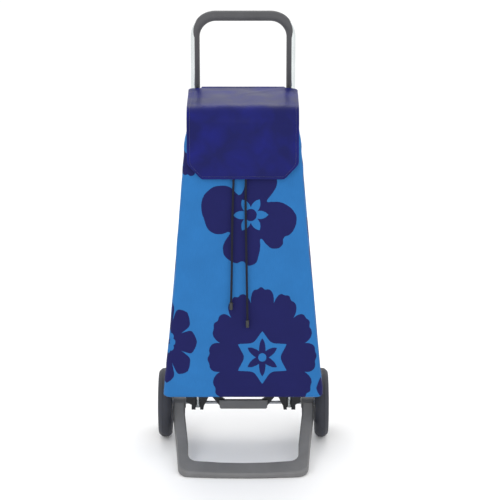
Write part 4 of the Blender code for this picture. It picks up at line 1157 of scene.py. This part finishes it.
def cloth_relief(way, z, columns, behind):
    """How far the cloth stands off its section: soft sags, drag lines and, at the neck, gathers.

    Behind is 1 on the back of the bag, where the stiff board holds the cloth out.
    """
    sizes = bpy.context.scene.trolley_sizes
    shoulder = BAG_LOW[2] + sizes.bag_height
    sag = 0.0011 * waves(way, z, 0.26, 4) + 0.0005 * waves(way, z, 0.10, 11)
    drag = 0.0006 * np.sin((z - 0.35 * np.abs(way)) * 2 * math.pi / 0.055) * smooth_step(z, 0.55, 0.78)
    low_fold = 0.0010 * np.sin(z * 2 * math.pi / 0.042 + 2.0 * waves(way, z, 0.30, 3)) * (
        1 - smooth_step(z, 0.21, 0.30)
    )
    belly = -0.0022 * np.sin(np.clip((z - BAG_LOW[2]) / sizes.bag_height, 0, 1) * math.pi)
    gather = np.cos(columns * 2 * math.pi * GATHERS) * 0.0021 * smooth_step(
        z, shoulder + 0.004, BAG_HIGH[2] - 0.006
    )
    wall = (sag + drag + low_fold) * smooth_step(z, BAG_LOW[2] + 0.002, BAG_LOW[2] + 0.03)
    lift = wall * (1 - smooth_step(z, shoulder - 0.02, shoulder + 0.02)) + belly + gather - 0.0012
    free = smooth_step(z, BAG_LOW[2] + 0.02, BAG_LOW[2] + 0.08) * (1 - behind)
    return np.maximum(lift, -0.0014 - 0.0046 * free)


def bag_grid():
    """The bag's outer cloth: rows of points from the underside to the mouth, and their places on the print.

    Towards the back the shoulders are drawn in, as the load hangs from the hooks there.
    """
    sizes = bpy.context.scene.trolley_sizes
    low, mouth = BAG_LOW[2], BAG_HIGH[2]
    heights = np.r_[
        low,
        low + 0.0012,
        low + 0.0026,
        np.arange(low + 0.005, mouth - 0.0035, 0.0045),
        mouth - 0.0015,
        mouth,
    ]
    halves, fronts, backs = bag_section(heights)
    rows, places = [], []
    for z, half, front, back in zip(heights, halves, fronts, backs):
        x, out, way = bag_outline(half, front, back, sizes.bag_corner)
        drawn_in = 0.08 * (1 - smooth_step(out, back, front - 0.03)) * smooth_step(z, 0.70, 0.785)
        rows.append(np.stack([x * (1 - drawn_in), ahead(out), np.full_like(x, z)], axis=-1))
        places.append(np.stack([way, np.full_like(x, z), np.zeros_like(x)], axis=-1))
    grid, places = np.array(rows), np.array(places)
    closed = grid[:, :-1]
    normal = grid_normals(closed, around=True)
    columns = np.linspace(0, 1, closed.shape[1], endpoint=False)[None, :]
    behind = smooth_step(grid[:, :-1, 1], ahead(backs + 0.030)[:, None], ahead(backs + 0.010)[:, None])
    lift = cloth_relief(places[:, :-1, 0], grid[:, :-1, 2], columns, behind)
    edge = smooth_step(heights, low, low + 0.01) * (1 - smooth_step(heights, mouth - 0.004, mouth))
    outward = normal.copy()
    outward[..., 2] *= 0.3
    return closed + outward * (lift * edge[:, None])[..., None], normal, places


def make_bag():
    """The bag's cloth, cut where it folds, with its casing and stitching."""
    sizes = bpy.context.scene.trolley_sizes
    grid, normal, places = bag_grid()
    thick = sizes.cloth_thickness
    inner = grid - normal * thick
    inner[:3, :, 2] = np.maximum(inner[:3, :, 2], BAG_LOW[2] + thick)
    middle = np.array([0.0, (grid[0, :, 1].min() + grid[0, :, 1].max()) / 2])
    shares = np.array([0.02, 0.15, 0.35, 0.55, 0.75, 0.90, 0.97])[:, None]

    def underside(ring, z):
        flat = np.zeros((len(shares), ring.shape[0], 3))
        flat[..., :2] = middle + (ring[None, :, :2] - middle) * shares[..., None]
        flat[..., 2] = z
        return flat

    def under_places():
        flat = np.repeat(places[:1], len(shares), axis=0).copy()
        flat[..., 1] -= (1 - shares) * 0.09
        return flat

    whole = np.concatenate(
        [underside(grid[0], BAG_LOW[2]), grid, inner[::-1], underside(inner[0], BAG_LOW[2] + thick)[::-1]]
    )
    spots = np.concatenate([under_places(), places, places[::-1], under_places()[::-1]])
    outer_rows = len(shares) + len(grid)
    lining = np.zeros(len(whole))
    lining[outer_rows:] = 1.0
    mesh = grid_mesh(
        "bag_cloth", whole, around=True, ends=True, corners=("cloth", spots), rows_hold=("lining", lining)
    )

    shape = bmesh.new()
    shape.from_mesh(mesh)
    fold_normal = Vector((0, math.sin(FOLD_ANGLE), math.cos(FOLD_ANGLE)))
    board_low, board_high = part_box("base_board")
    fold_point = Vector((0, board_high[1], board_low[2])) - fold_normal * BOARD_COVER
    bmesh.ops.bisect_plane(
        shape,
        geom=[*shape.verts, *shape.edges, *shape.faces],
        dist=1e-6,
        plane_co=fold_point,
        plane_no=fold_normal,
    )
    shape.normal_update()
    facing = shape.verts.layers.float_vector.new("facing")
    for vert in shape.verts:
        vert[facing] = vert.normal
    canvas = printed_canvas()
    halves = {}
    for name, keep_above in (("bag_upper", True), ("bag_lower", False)):
        part = shape.copy()
        drop = [
            face
            for face in part.faces
            if ((face.calc_center_median() - fold_point).dot(fold_normal) > 0) != keep_above
        ]
        bmesh.ops.delete(part, geom=drop, context="FACES")
        cut = bpy.data.meshes.new(name)
        part.to_mesh(cut)
        part.free()
        cut.shade_smooth()
        normals = np.zeros(len(cut.vertices) * 3, np.float32)
        cut.attributes["facing"].data.foreach_get("vector", normals)
        cut.attributes.remove(cut.attributes["facing"])
        cut.normals_split_custom_set_from_vertices(normals.reshape(-1, 3).tolist())
        halves[name] = piece(name, cut, canvas)
    shape.free()
    bpy.data.meshes.remove(mesh)
    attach(halves["bag_upper"], "frame")
    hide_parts("bag_body")
    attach(halves["bag_lower"], "frame")
    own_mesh(halves["bag_lower"])
    make_casing()
    make_bag_stitching(grid, normal)


def make_casing():
    """The gathered tunnel round the mouth that the drawstrings run in."""
    sizes = bpy.context.scene.trolley_sizes
    low, high = CASING_LOW[2], CASING_HIGH[2]
    tall, deep = high - low, CASING_DEPTH
    section = rounded_profile([(0, low), (0, high), (deep, high), (deep, low)], CASING_EDGE, 5)
    rows = []
    for inset, z in section:
        x, out, way = bag_outline(
            MOUTH_HALF - inset, MOUTH_FRONT - inset, MOUTH_BACK + inset, sizes.bag_corner - inset
        )
        grid = np.stack([x, ahead(out), np.full_like(x, z)], axis=-1)[:-1]
        columns = np.linspace(0, 1, len(grid), endpoint=False)
        calm = smooth_step(np.abs(way[:-1]), 0.022, 0.040)
        pleat = np.cos(columns * 2 * math.pi * PLEATS) * 0.5 + 0.5
        centre = np.array([0.0, ahead((MOUTH_FRONT + MOUTH_BACK) / 2)])
        inward = centre - grid[:, :2]
        inward /= np.linalg.norm(inward, axis=1, keepdims=True)
        share = abs(z - (low + high) / 2) / (tall / 2)
        grid[:, :2] += inward * (pleat * calm * (0.0010 + 0.0004 * share))[:, None]
        grid[:, 2] -= pleat * calm * 0.0012 * (1 if z > (low + high) / 2 else -0.3)
        rows.append(grid)
    casing = piece(
        "gathered_casing",
        grid_mesh("gathered_casing", np.array(rows), around=True, closed=True),
        sheet_vinyl(),
        "frame",
    )
    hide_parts("drawstring_casing")


def make_bag_stitching(grid, normal):
    """Two rows of stitches round the shoulders, under the neck's gathers, and two up the back seam."""
    sizes = bpy.context.scene.trolley_sizes
    rows = []
    for offset in (-0.008, -0.0125):
        at = int(np.argmin(np.abs(grid[:, 0, 2] - (BAG_LOW[2] + sizes.bag_height + offset))))
        line = np.vstack([grid[at], grid[at][:1]])
        out = np.vstack([normal[at], normal[at][:1]])
        rows.append(stitch_row("shoulder_row", line, out))
    up = slice(8, at - 2)
    for column in (1, -2):
        rows.append(stitch_row("back_seam_row", grid[up, column], normal[up, column]))
    piece("shoulder_stitches", joined("shoulder_stitches", rows), sewing_thread(), "frame")


# ---------------------------------------------------------------- flap


def flap_place(along, across, lift=0.0):
    """Points of the flap's upper face: along from the hinge, over the bend, to the lower edge."""
    sizes = bpy.context.scene.trolley_sizes
    hinge = AXLE_Y - FLAP_HIGH[1]
    front = AXLE_Y - FRONT_LOW[1]
    top, bend = FLAP_HIGH[2], sizes.flap_bend
    flat = front - bend - hinge
    arc = bend * math.pi / 2
    along, across = np.broadcast_arrays(np.asarray(along, float), np.asarray(across, float))
    turn = np.clip((along - flat) / arc, 0, 1) * math.pi / 2
    out = hinge + np.minimum(along, flat) + bend * np.sin(turn)
    z = top - bend * (1 - np.cos(turn)) - np.clip(along - flat - arc, 0, None)
    normal = np.stack([np.zeros_like(turn), -np.sin(turn), np.cos(turn)], axis=-1)
    on_top = 1 - smooth_step(along, flat - 0.01, flat + arc * 0.6)
    wing = smooth_step(np.abs(across), 0.088, 0.123)
    fall = 0.0035 * wing * on_top * smooth_step(along, 0.004, 0.03)
    sag = 0.0010 * np.cos(across / 0.094 * math.pi / 2).clip(0, 1) * np.sin(
        np.clip(along / flat, 0, 1) * math.pi
    )
    curl = 0.0022 * smooth_step(np.abs(across), 0.06, 0.123) ** 2 * smooth_step(
        along, flat + arc * 0.5, flat + arc + 0.10
    )
    ridge_at = (across - 0.052) * 0.55 + (along - 0.028)
    ridge = 0.0011 * np.exp(-((ridge_at / 0.009) ** 2)) * smooth_step(across, -0.03, 0.05) * on_top
    ripple = 0.0009 * waves(across, along, 0.085, 21) * smooth_step(along, 0.0, 0.02)
    swell = 0.0022 * waves(across, along, 0.17, 8) * smooth_step(along, 0.03, flat) * (
        1 - smooth_step(along, flat + arc, flat + arc + 0.05)
    )
    droop = 0.0026 * smooth_step(along, 0.035, flat + arc * 0.9) * (
        1 - smooth_step(turn, 0.9, math.pi / 2)
    )
    depth = np.asarray(lift) + ripple + swell - 0.0008 - fall - sag - curl + ridge - droop
    point = np.stack([across, ahead(out), z], axis=-1) + normal * depth[..., None]
    return point, normal


def flap_length():
    """The flap's lengths on top, over the bend and down the front."""
    sizes = bpy.context.scene.trolley_sizes
    flat = (AXLE_Y - FRONT_LOW[1]) - sizes.flap_bend - (AXLE_Y - FLAP_HIGH[1])
    down = FLAP_HIGH[2] - sizes.flap_bend - FRONT_LOW[2]
    return flat, sizes.flap_bend * math.pi / 2, down


def flap_half(along):
    """The flap's half width at this distance from the hinge."""
    sizes = bpy.context.scene.trolley_sizes
    length = sum(flap_length())
    half, tongue = FLAP_HIGH[0], BAND_HIGH[0]
    wide, tall = sizes.flap_corner_width, sizes.flap_corner_height
    places = [0.0, 0.004, 0.0062, 0.0082, 0.0115, 0.0155, length - tall - 0.004, length - tall,
              length - tall + 0.004, length - 0.006, length - 0.0015, length]
    slope = wide / tall
    widths = [tongue, tongue + 0.002, tongue + 0.018, half - 0.004, half - 0.0011, half, half - 0.0001,
              half - 0.0012, half - 0.004 * slope, half - wide + 0.006 * slope, half - wide + 0.0002,
              half - wide - 0.0022]
    return np.interp(along, places, widths)


def make_flap():
    """The flap as one hemmed sheet, curved down over its front edge."""
    sizes = bpy.context.scene.trolley_sizes
    flat, arc, down = flap_length()
    length = flat + arc + down
    edge = np.array([0.0, 0.00012, 0.0004, 0.0009, 0.0016])
    stations = np.unique(np.r_[edge, np.arange(0.0026, length - 0.0016, 0.0022), length - edge[::-1]])
    shares = np.unique(np.r_[edge / 0.1, np.linspace(0.026, 1, 44)])
    shares = np.unique(np.r_[-(1 - shares), 1 - shares])
    halves = flap_half(stations)
    across = halves[:, None] * shares[None, :]
    along = np.repeat(stations[:, None], len(shares), axis=1)
    thick = sizes.flap_thickness
    rim = np.minimum(np.minimum(along, length - along), halves[:, None] - np.abs(across))
    round_off = 1 - np.sqrt(1 - np.clip(1 - rim / 0.0010, 0, 1) ** 2)
    hem = 0.00035 * (
        1 - smooth_step(rim, 0.0085, 0.0100)
    ) - 0.00028 * np.exp(-(((rim - HEM_INSET) / 0.0007) ** 2))
    upper, _ = flap_place(along, across, hem - round_off * thick * 0.5 - 0.0002)
    lower, _ = flap_place(along, across, round_off * thick * 0.5 - thick - hem * 0.6)
    grid = np.concatenate([upper, lower[:, ::-1]], axis=1)
    flap = piece(
        "flap_sheet", grid_mesh("flap_sheet", grid, around=True, ends=False), sheet_vinyl()
    )
    close_ends(flap.data)
    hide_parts("flap_top", "flap_front")
    stitches = make_flap_stitching(length)
    for cloth in (flap, stitches):
        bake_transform(cloth)
    make_hinge_band()


def close_ends(mesh):
    """Closes the two open ends of a flattened tube."""
    shape = bmesh.new()
    shape.from_mesh(mesh)
    edges = [edge for edge in shape.edges if edge.is_boundary]
    bmesh.ops.holes_fill(shape, edges=edges, sides=0)
    bmesh.ops.recalc_face_normals(shape, faces=shape.faces)
    shape.to_mesh(mesh)
    shape.free()
    mesh.shade_smooth()


def make_flap_stitching(length):
    """One row of stitches round the flap, inside its hem."""
    stations = np.linspace(0.016, length - HEM_INSET, 160)
    right = flap_half(stations) - HEM_INSET * 1.08
    rows = []
    for sign in (-1, 1):
        line, out = flap_place(stations, sign * right, 0.0002)
        rows.append(stitch_row("flap_side_row", line, out))
    across = np.linspace(-right[-1], right[-1], 80)
    line, out = flap_place(np.full(80, length - HEM_INSET), across, 0.0002)
    rows.append(stitch_row("flap_low_row", line, out))
    return piece("flap_stitches", joined("flap_stitches", rows), sewing_thread())


def make_hinge_band():
    """The strip from the flap to the back of the bag, over the crosspiece, and the fold on its hinge line."""
    half = BAND_HIGH[0]
    hinge = AXLE_Y - FLAP_HIGH[1]
    rear = AXLE_Y - BAND_HIGH[1]
    leg = rear + 0.0107
    top, low = FLAP_HIGH[2], BAND_LOW[2]
    line = [(hinge - 0.0006, top), (rear, top), (rear, top - 0.0164), (leg, top - 0.0204), (leg, low)]
    points = [Vector(p) for p in line]
    path = [points[0]]
    for before, here, after in zip(points, points[1:], points[2:]):
        cut = min(0.0042, (before - here).length * 0.45, (after - here).length * 0.45)
        start, end = here + (before - here).normalized() * cut, here + (after - here).normalized() * cut
        path += [start * (1 - t) ** 2 + here * 2 * t * (1 - t) + end * t**2 for t in np.linspace(0, 1, 7)]
    path.append(points[-1])
    path = np.array([tuple(p) for p in path])
    steps = np.r_[0, np.cumsum(np.linalg.norm(np.diff(path, axis=0), axis=1))]
    at = np.linspace(0, steps[-1], 70)
    path = np.stack([np.interp(at, steps, path[:, i]) for i in range(2)], axis=1)
    way = np.gradient(path, axis=0)
    way /= np.linalg.norm(way, axis=1, keepdims=True)
    inward = np.stack([-way[:, 1], way[:, 0]], axis=1)
    inward *= np.sign(inward[0, 1]) * -1
    thick = BAND_DEPTH
    across = np.linspace(-half, half, 81)
    rows_up, rows_down, out = [], [], []
    for (distance, z), (dx, dz), step in zip(path, inward, at):
        lump = 0.0004 * waves(
            across, np.full_like(across, step), 0.05, 31
        ) * smooth_step(step, 0.004, 0.02)
        depth = np.abs(lump)
        hem = np.minimum(half - np.abs(across), steps[-1] - step)
        round_off = 1 - np.sqrt(1 - np.clip(1 - hem / 0.0009, 0, 1) ** 2)
        for rows, shift in (
            (rows_up, depth + round_off * thick / 2), (rows_down, depth + thick - round_off * thick / 2)
        ):
            rows.append(
                np.stack([across, ahead(distance + dx * shift), z + dz * shift], axis=-1)
            )
        out.append(np.array([0.0, dx, -dz]))
    grid = np.concatenate([np.array(rows_up), np.array(rows_down)[:, ::-1]], axis=1)
    band = piece(
        "hinge_band_strip", grid_mesh("hinge_band_strip", grid, around=True), sheet_vinyl(), "frame"
    )
    close_ends(band.data)
    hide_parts("flap_hinge_band")

    bead_line = np.stack(
        [
            np.linspace(-half + 0.001, half - 0.001, 60),
            np.full(60, ahead(hinge)),
            np.full(60, top - 0.0013),
        ], axis=1
    )
    bead = piece(
        "hinge_fold", tube_along("hinge_fold", bead_line, 0.0012, 16), sheet_vinyl(), "frame"
    )

    outward = np.array(out)
    rows = []
    for sign in (-1, 1):
        keep = slice(6, 66)
        x = sign * (half - 0.005)
        line = np.stack([np.full(60, x), ahead(path[keep, 0]), path[keep, 1]], axis=1)
        rows.append(stitch_row("band_side_row", line + outward[keep] * 0.0001, outward[keep]))
    across = np.linspace(-half + 0.005, half - 0.005, 60)
    for z in (low + 0.006, low + 0.012):
        line = np.stack([across, np.full(60, ahead(leg) + 0.0001), np.full(60, z)], axis=1)
        rows.append(stitch_row("band_low_row", line, np.repeat([[0.0, 1.0, 0.0]], 60, axis=0)))
    stitches = piece("band_stitches", joined("band_stitches", rows), sewing_thread(), "frame")


# ---------------------------------------------------------------- wheels


def make_wheels():
    """Grooved tyres round the rims, and the finishes of what turns with them."""
    for side in ("left", "right"):
        low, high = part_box(f"{side}_tyre")
        middle = (low[0] + high[0]) / 2
        half = (high[0] - low[0]) / 2
        radius = (high[2] - low[2]) / 2
        seat = radius - bpy.context.scene.trolley_sizes.tyre_depth
        profile = rounded_profile(
            [
                (middle - 0.0118, seat), (middle - half, seat + 0.004), (middle - half, radius - 0.0085),
                (middle - half + 0.0085, radius), (middle + half - 0.0085, radius),
                (middle + half, radius - 0.0085), (middle + half, seat + 0.004), (middle + 0.0118, seat),
            ],
            0.0045,
            5,
        )
        shaped = []
        for start, end in zip(profile, profile[1:] + profile[:1]):
            steps = max(1, int(math.dist(start, end) / 0.0004))
            for k in range(steps):
                station = start[0] + (end[0] - start[0]) * k / steps
                reach = start[1] + (end[1] - start[1]) * k / steps
                across = station - middle
                if reach > radius - 0.004:
                    for groove in (-0.0048, 0.0048):
                        reach -= 0.0008 * math.exp(-(((across - groove) / 0.0006) ** 2))
                if abs(across) > half - 0.001:
                    reach_share = (reach - seat) / (radius - seat)
                    station -= math.copysign(
                        0.0004 * math.exp(-(((reach_share - 0.32) / 0.05) ** 2)), across
                    )
                shaped.append((station, reach))
        tyre = piece(
            f"{side}_tyre_moulding",
            turned_mesh(f"{side}_tyre_moulding", shaped, (0, AXLE_Y, AXLE_Z), 0, 144, hollow=True),
            tyre_rubber(),
            f"{side}_wheel",
        )
        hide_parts(f"{side}_tyre")
        soften_edges(f"{side}_rim", 0.0007, black_polypropylene())
        soften_edges(f"{side}_hub_bush", 0.0, natural_nylon())
        soften_edges(f"{side}_axle_cap", 0.0006, black_polypropylene())
        soften_edges(f"{side}_axle_washer", 0.0002, zinc_steel())
    soften_edges("axle", 0.0003, zinc_steel())


# ---------------------------------------------------------------- foot, lever and mouldings


def make_foot():
    """The finishes of the foot and its bushes."""
    soften_edges("foot_loop", 0.0010, grey_polypropylene())
    for side in ("left", "right"):
        soften_edges(f"{side}_foot_bush", 0.0, natural_nylon())


def make_lever():
    """The finishes of the release lever."""
    soften_edges("lever_frame", 0.0006, black_polypropylene())
    soften_edges("lever_pad", 0.0006, grey_polypropylene())
    soften_edges("lever_pin", 0.0002, zinc_steel())
    soften_edges("lever_spring", 0.0, zinc_steel())


def make_mouldings():
    """The finishes of the fixed mouldings, their screws and the two boards."""
    for name in ("axle_bridge", "top_crosspiece", "bag_shelf", "left_bag_hook", "right_bag_hook"):
        soften_edges(name, 0.0008, black_polypropylene())
    for side in ("left", "right"):
        for screw in ("bridge_screw", "crosspiece_screw", "shelf_screw"):
            soften_edges(f"{side}_{screw}", 0.0003, zinc_steel())
    for name in ("base_board", "back_board"):
        soften_edges(name, 0.0004, pressed_board())


# ---------------------------------------------------------------- the add-on


class TrolleySizes(bpy.types.PropertyGroup):
    bag_height: FloatProperty(
        name="Bag height", description="Underside to shoulders", default=0.595, unit="LENGTH"
    )
    bag_corner: FloatProperty(
        name="Bag corner", description="Radius of the bag's upright corners", default=0.013, unit="LENGTH"
    )
    cloth_thickness: FloatProperty(
        name="Canvas thickness", description="Printed canvas with its coating", default=0.0012, unit="LENGTH"
    )
    flap_thickness: FloatProperty(
        name="Flap thickness", description="Vinyl-coated cloth, doubled", default=0.0021, unit="LENGTH"
    )
    flap_bend: FloatProperty(
        name="Flap bend", description="Radius of the flap's front edge", default=0.041, unit="LENGTH"
    )
    flap_corner_width: FloatProperty(
        name="Corner cut width", description="Width of the flap's cut corners", default=0.031, unit="LENGTH"
    )
    flap_corner_height: FloatProperty(
        name="Corner cut height", description="Height of the flap's cut corners", default=0.034, unit="LENGTH"
    )
    handle_bend: FloatProperty(
        name="Handle bend", description="Bend radius at the tube's centre", default=0.048, unit="LENGTH"
    )
    cord_diameter: FloatProperty(
        name="Cord diameter", description="Thickness of the drawstrings", default=0.005, unit="LENGTH"
    )
    tyre_depth: FloatProperty(
        name="Tyre depth", description="Tread to the rim's seat", default=0.020, unit="LENGTH"
    )


class TrolleyColours(bpy.types.PropertyGroup):
    canvas_blue: FloatVectorProperty(
        name="Canvas", description="Ground of the print", subtype="COLOR", default=linear("#296CAA")[:3],
        min=0.0, max=1.0,
    )
    print_indigo: FloatVectorProperty(
        name="Print", description="Ink of the flowers", subtype="COLOR", default=linear("#191B53")[:3],
        min=0.0, max=1.0,
    )
    flap_indigo: FloatVectorProperty(
        name="Flap", description="Ground of the flap", subtype="COLOR", default=linear("#0F1352")[:3],
        min=0.0, max=1.0,
    )
    flap_bright: FloatVectorProperty(
        name="Flap mottling", description="Brighter patches of the flap", subtype="COLOR",
        default=linear("#131870")[:3], min=0.0, max=1.0,
    )


class TrolleyStage(bpy.types.PropertyGroup):
    floor_size: FloatProperty(name="Floor", description="Width of the floor", default=16.0, unit="LENGTH")
    floor_colour: FloatVectorProperty(
        name="Floor colour", description="Colour of the floor", subtype="COLOR",
        default=linear("#F9F9F9")[:3], min=0.0, max=1.0,
    )
    surround: FloatProperty(name="Surround", description="Brightness of the white surround", default=1.12)
    key_power: FloatProperty(
        name="Key", description="Power of the key softbox", default=16.0, unit="POWER"
    )
    fill_power: FloatProperty(
        name="Fill", description="Power of the fill softbox", default=7.0, unit="POWER"
    )
    top_power: FloatProperty(
        name="Top", description="Power of the top softbox", default=16.0, unit="POWER"
    )


class Maker:
    """What every operator here shares."""

    bl_options = {"REGISTER", "UNDO"}

    def execute(self, context):
        self.make()
        return {"FINISHED"}


class TROLLEY_OT_stage(Maker, bpy.types.Operator):
    """Makes the camera, the pale floor, the surround and the lamps."""

    bl_idname = "trolley.stage"
    bl_label = "Stage"

    def make(self):
        make_camera()
        make_stage()


class TROLLEY_OT_drawstrings(Maker, bpy.types.Operator):
    """Makes both drawstrings with their eyelets and ends."""

    bl_idname = "trolley.drawstrings"
    bl_label = "Drawstrings"

    def make(self):
        make_drawstring("left")
        make_drawstring("right")


class TROLLEY_OT_handle(Maker, bpy.types.Operator):
    """Makes the bent tube and its grip sleeve."""

    bl_idname = "trolley.handle"
    bl_label = "Handle"

    def make(self):
        make_handle()


class TROLLEY_OT_bag(Maker, bpy.types.Operator):
    """Makes the printed bag, its gathered casing and its stitching."""

    bl_idname = "trolley.bag"
    bl_label = "Bag"

    def make(self):
        make_bag()


class TROLLEY_OT_flap(Maker, bpy.types.Operator):
    """Makes the flap, its hinge band and their stitching."""

    bl_idname = "trolley.flap"
    bl_label = "Flap"

    def make(self):
        make_flap()


class TROLLEY_OT_wheels(Maker, bpy.types.Operator):
    """Makes the tyres and finishes the rims, bushes, caps and axle."""

    bl_idname = "trolley.wheels"
    bl_label = "Wheels"

    def make(self):
        make_wheels()


class TROLLEY_OT_foot(Maker, bpy.types.Operator):
    """Finishes the folding foot and its bushes."""

    bl_idname = "trolley.foot"
    bl_label = "Foot"

    def make(self):
        make_foot()


class TROLLEY_OT_lever(Maker, bpy.types.Operator):
    """Finishes the release lever, its pad, pin and spring."""

    bl_idname = "trolley.lever"
    bl_label = "Release lever"

    def make(self):
        make_lever()


class TROLLEY_OT_mouldings(Maker, bpy.types.Operator):
    """Finishes the crosspiece, bridge, shelf, hooks, screws and boards."""

    bl_idname = "trolley.mouldings"
    bl_label = "Mouldings"

    def make(self):
        make_mouldings()


class TROLLEY_PT_builder(bpy.types.Panel):
    """Lists the trolley's sizes, colours and makers."""

    bl_label = "Shopping trolley"
    bl_space_type = "VIEW_3D"
    bl_region_type = "UI"
    bl_category = "Trolley"

    def draw(self, context):
        layout = self.layout
        for group in (
            context.scene.trolley_sizes,
            context.scene.trolley_colours,
            context.scene.trolley_stage,
        ):
            box = layout.box()
            for name in group.bl_rna.properties.keys():
                if name not in ("rna_type", "name"):
                    box.prop(group, name)
        for operator in MAKERS:
            layout.operator(operator.bl_idname)


GROUPS = (TrolleySizes, TrolleyColours, TrolleyStage)
MAKERS = (
    TROLLEY_OT_stage,
    TROLLEY_OT_drawstrings,
    TROLLEY_OT_handle,
    TROLLEY_OT_bag,
    TROLLEY_OT_flap,
    TROLLEY_OT_wheels,
    TROLLEY_OT_foot,
    TROLLEY_OT_lever,
    TROLLEY_OT_mouldings,
)


def register():
    for kind in (*GROUPS, *MAKERS, TROLLEY_PT_builder):
        bpy.utils.register_class(kind)
    bpy.types.Scene.trolley_sizes = PointerProperty(type=TrolleySizes)
    bpy.types.Scene.trolley_colours = PointerProperty(type=TrolleyColours)
    bpy.types.Scene.trolley_stage = PointerProperty(type=TrolleyStage)


def unregister():
    del bpy.types.Scene.trolley_sizes
    del bpy.types.Scene.trolley_colours
    del bpy.types.Scene.trolley_stage
    for kind in reversed((*GROUPS, *MAKERS, TROLLEY_PT_builder)):
        bpy.utils.unregister_class(kind)


def main():
    register()
    bpy.ops.trolley.stage()
    bpy.ops.trolley.drawstrings()
    bpy.ops.trolley.handle()
    bpy.ops.trolley.bag()
    bpy.ops.trolley.flap()
    bpy.ops.trolley.wheels()
    bpy.ops.trolley.foot()
    bpy.ops.trolley.lever()
    bpy.ops.trolley.mouldings()


if __name__ == "__main__":
    main()
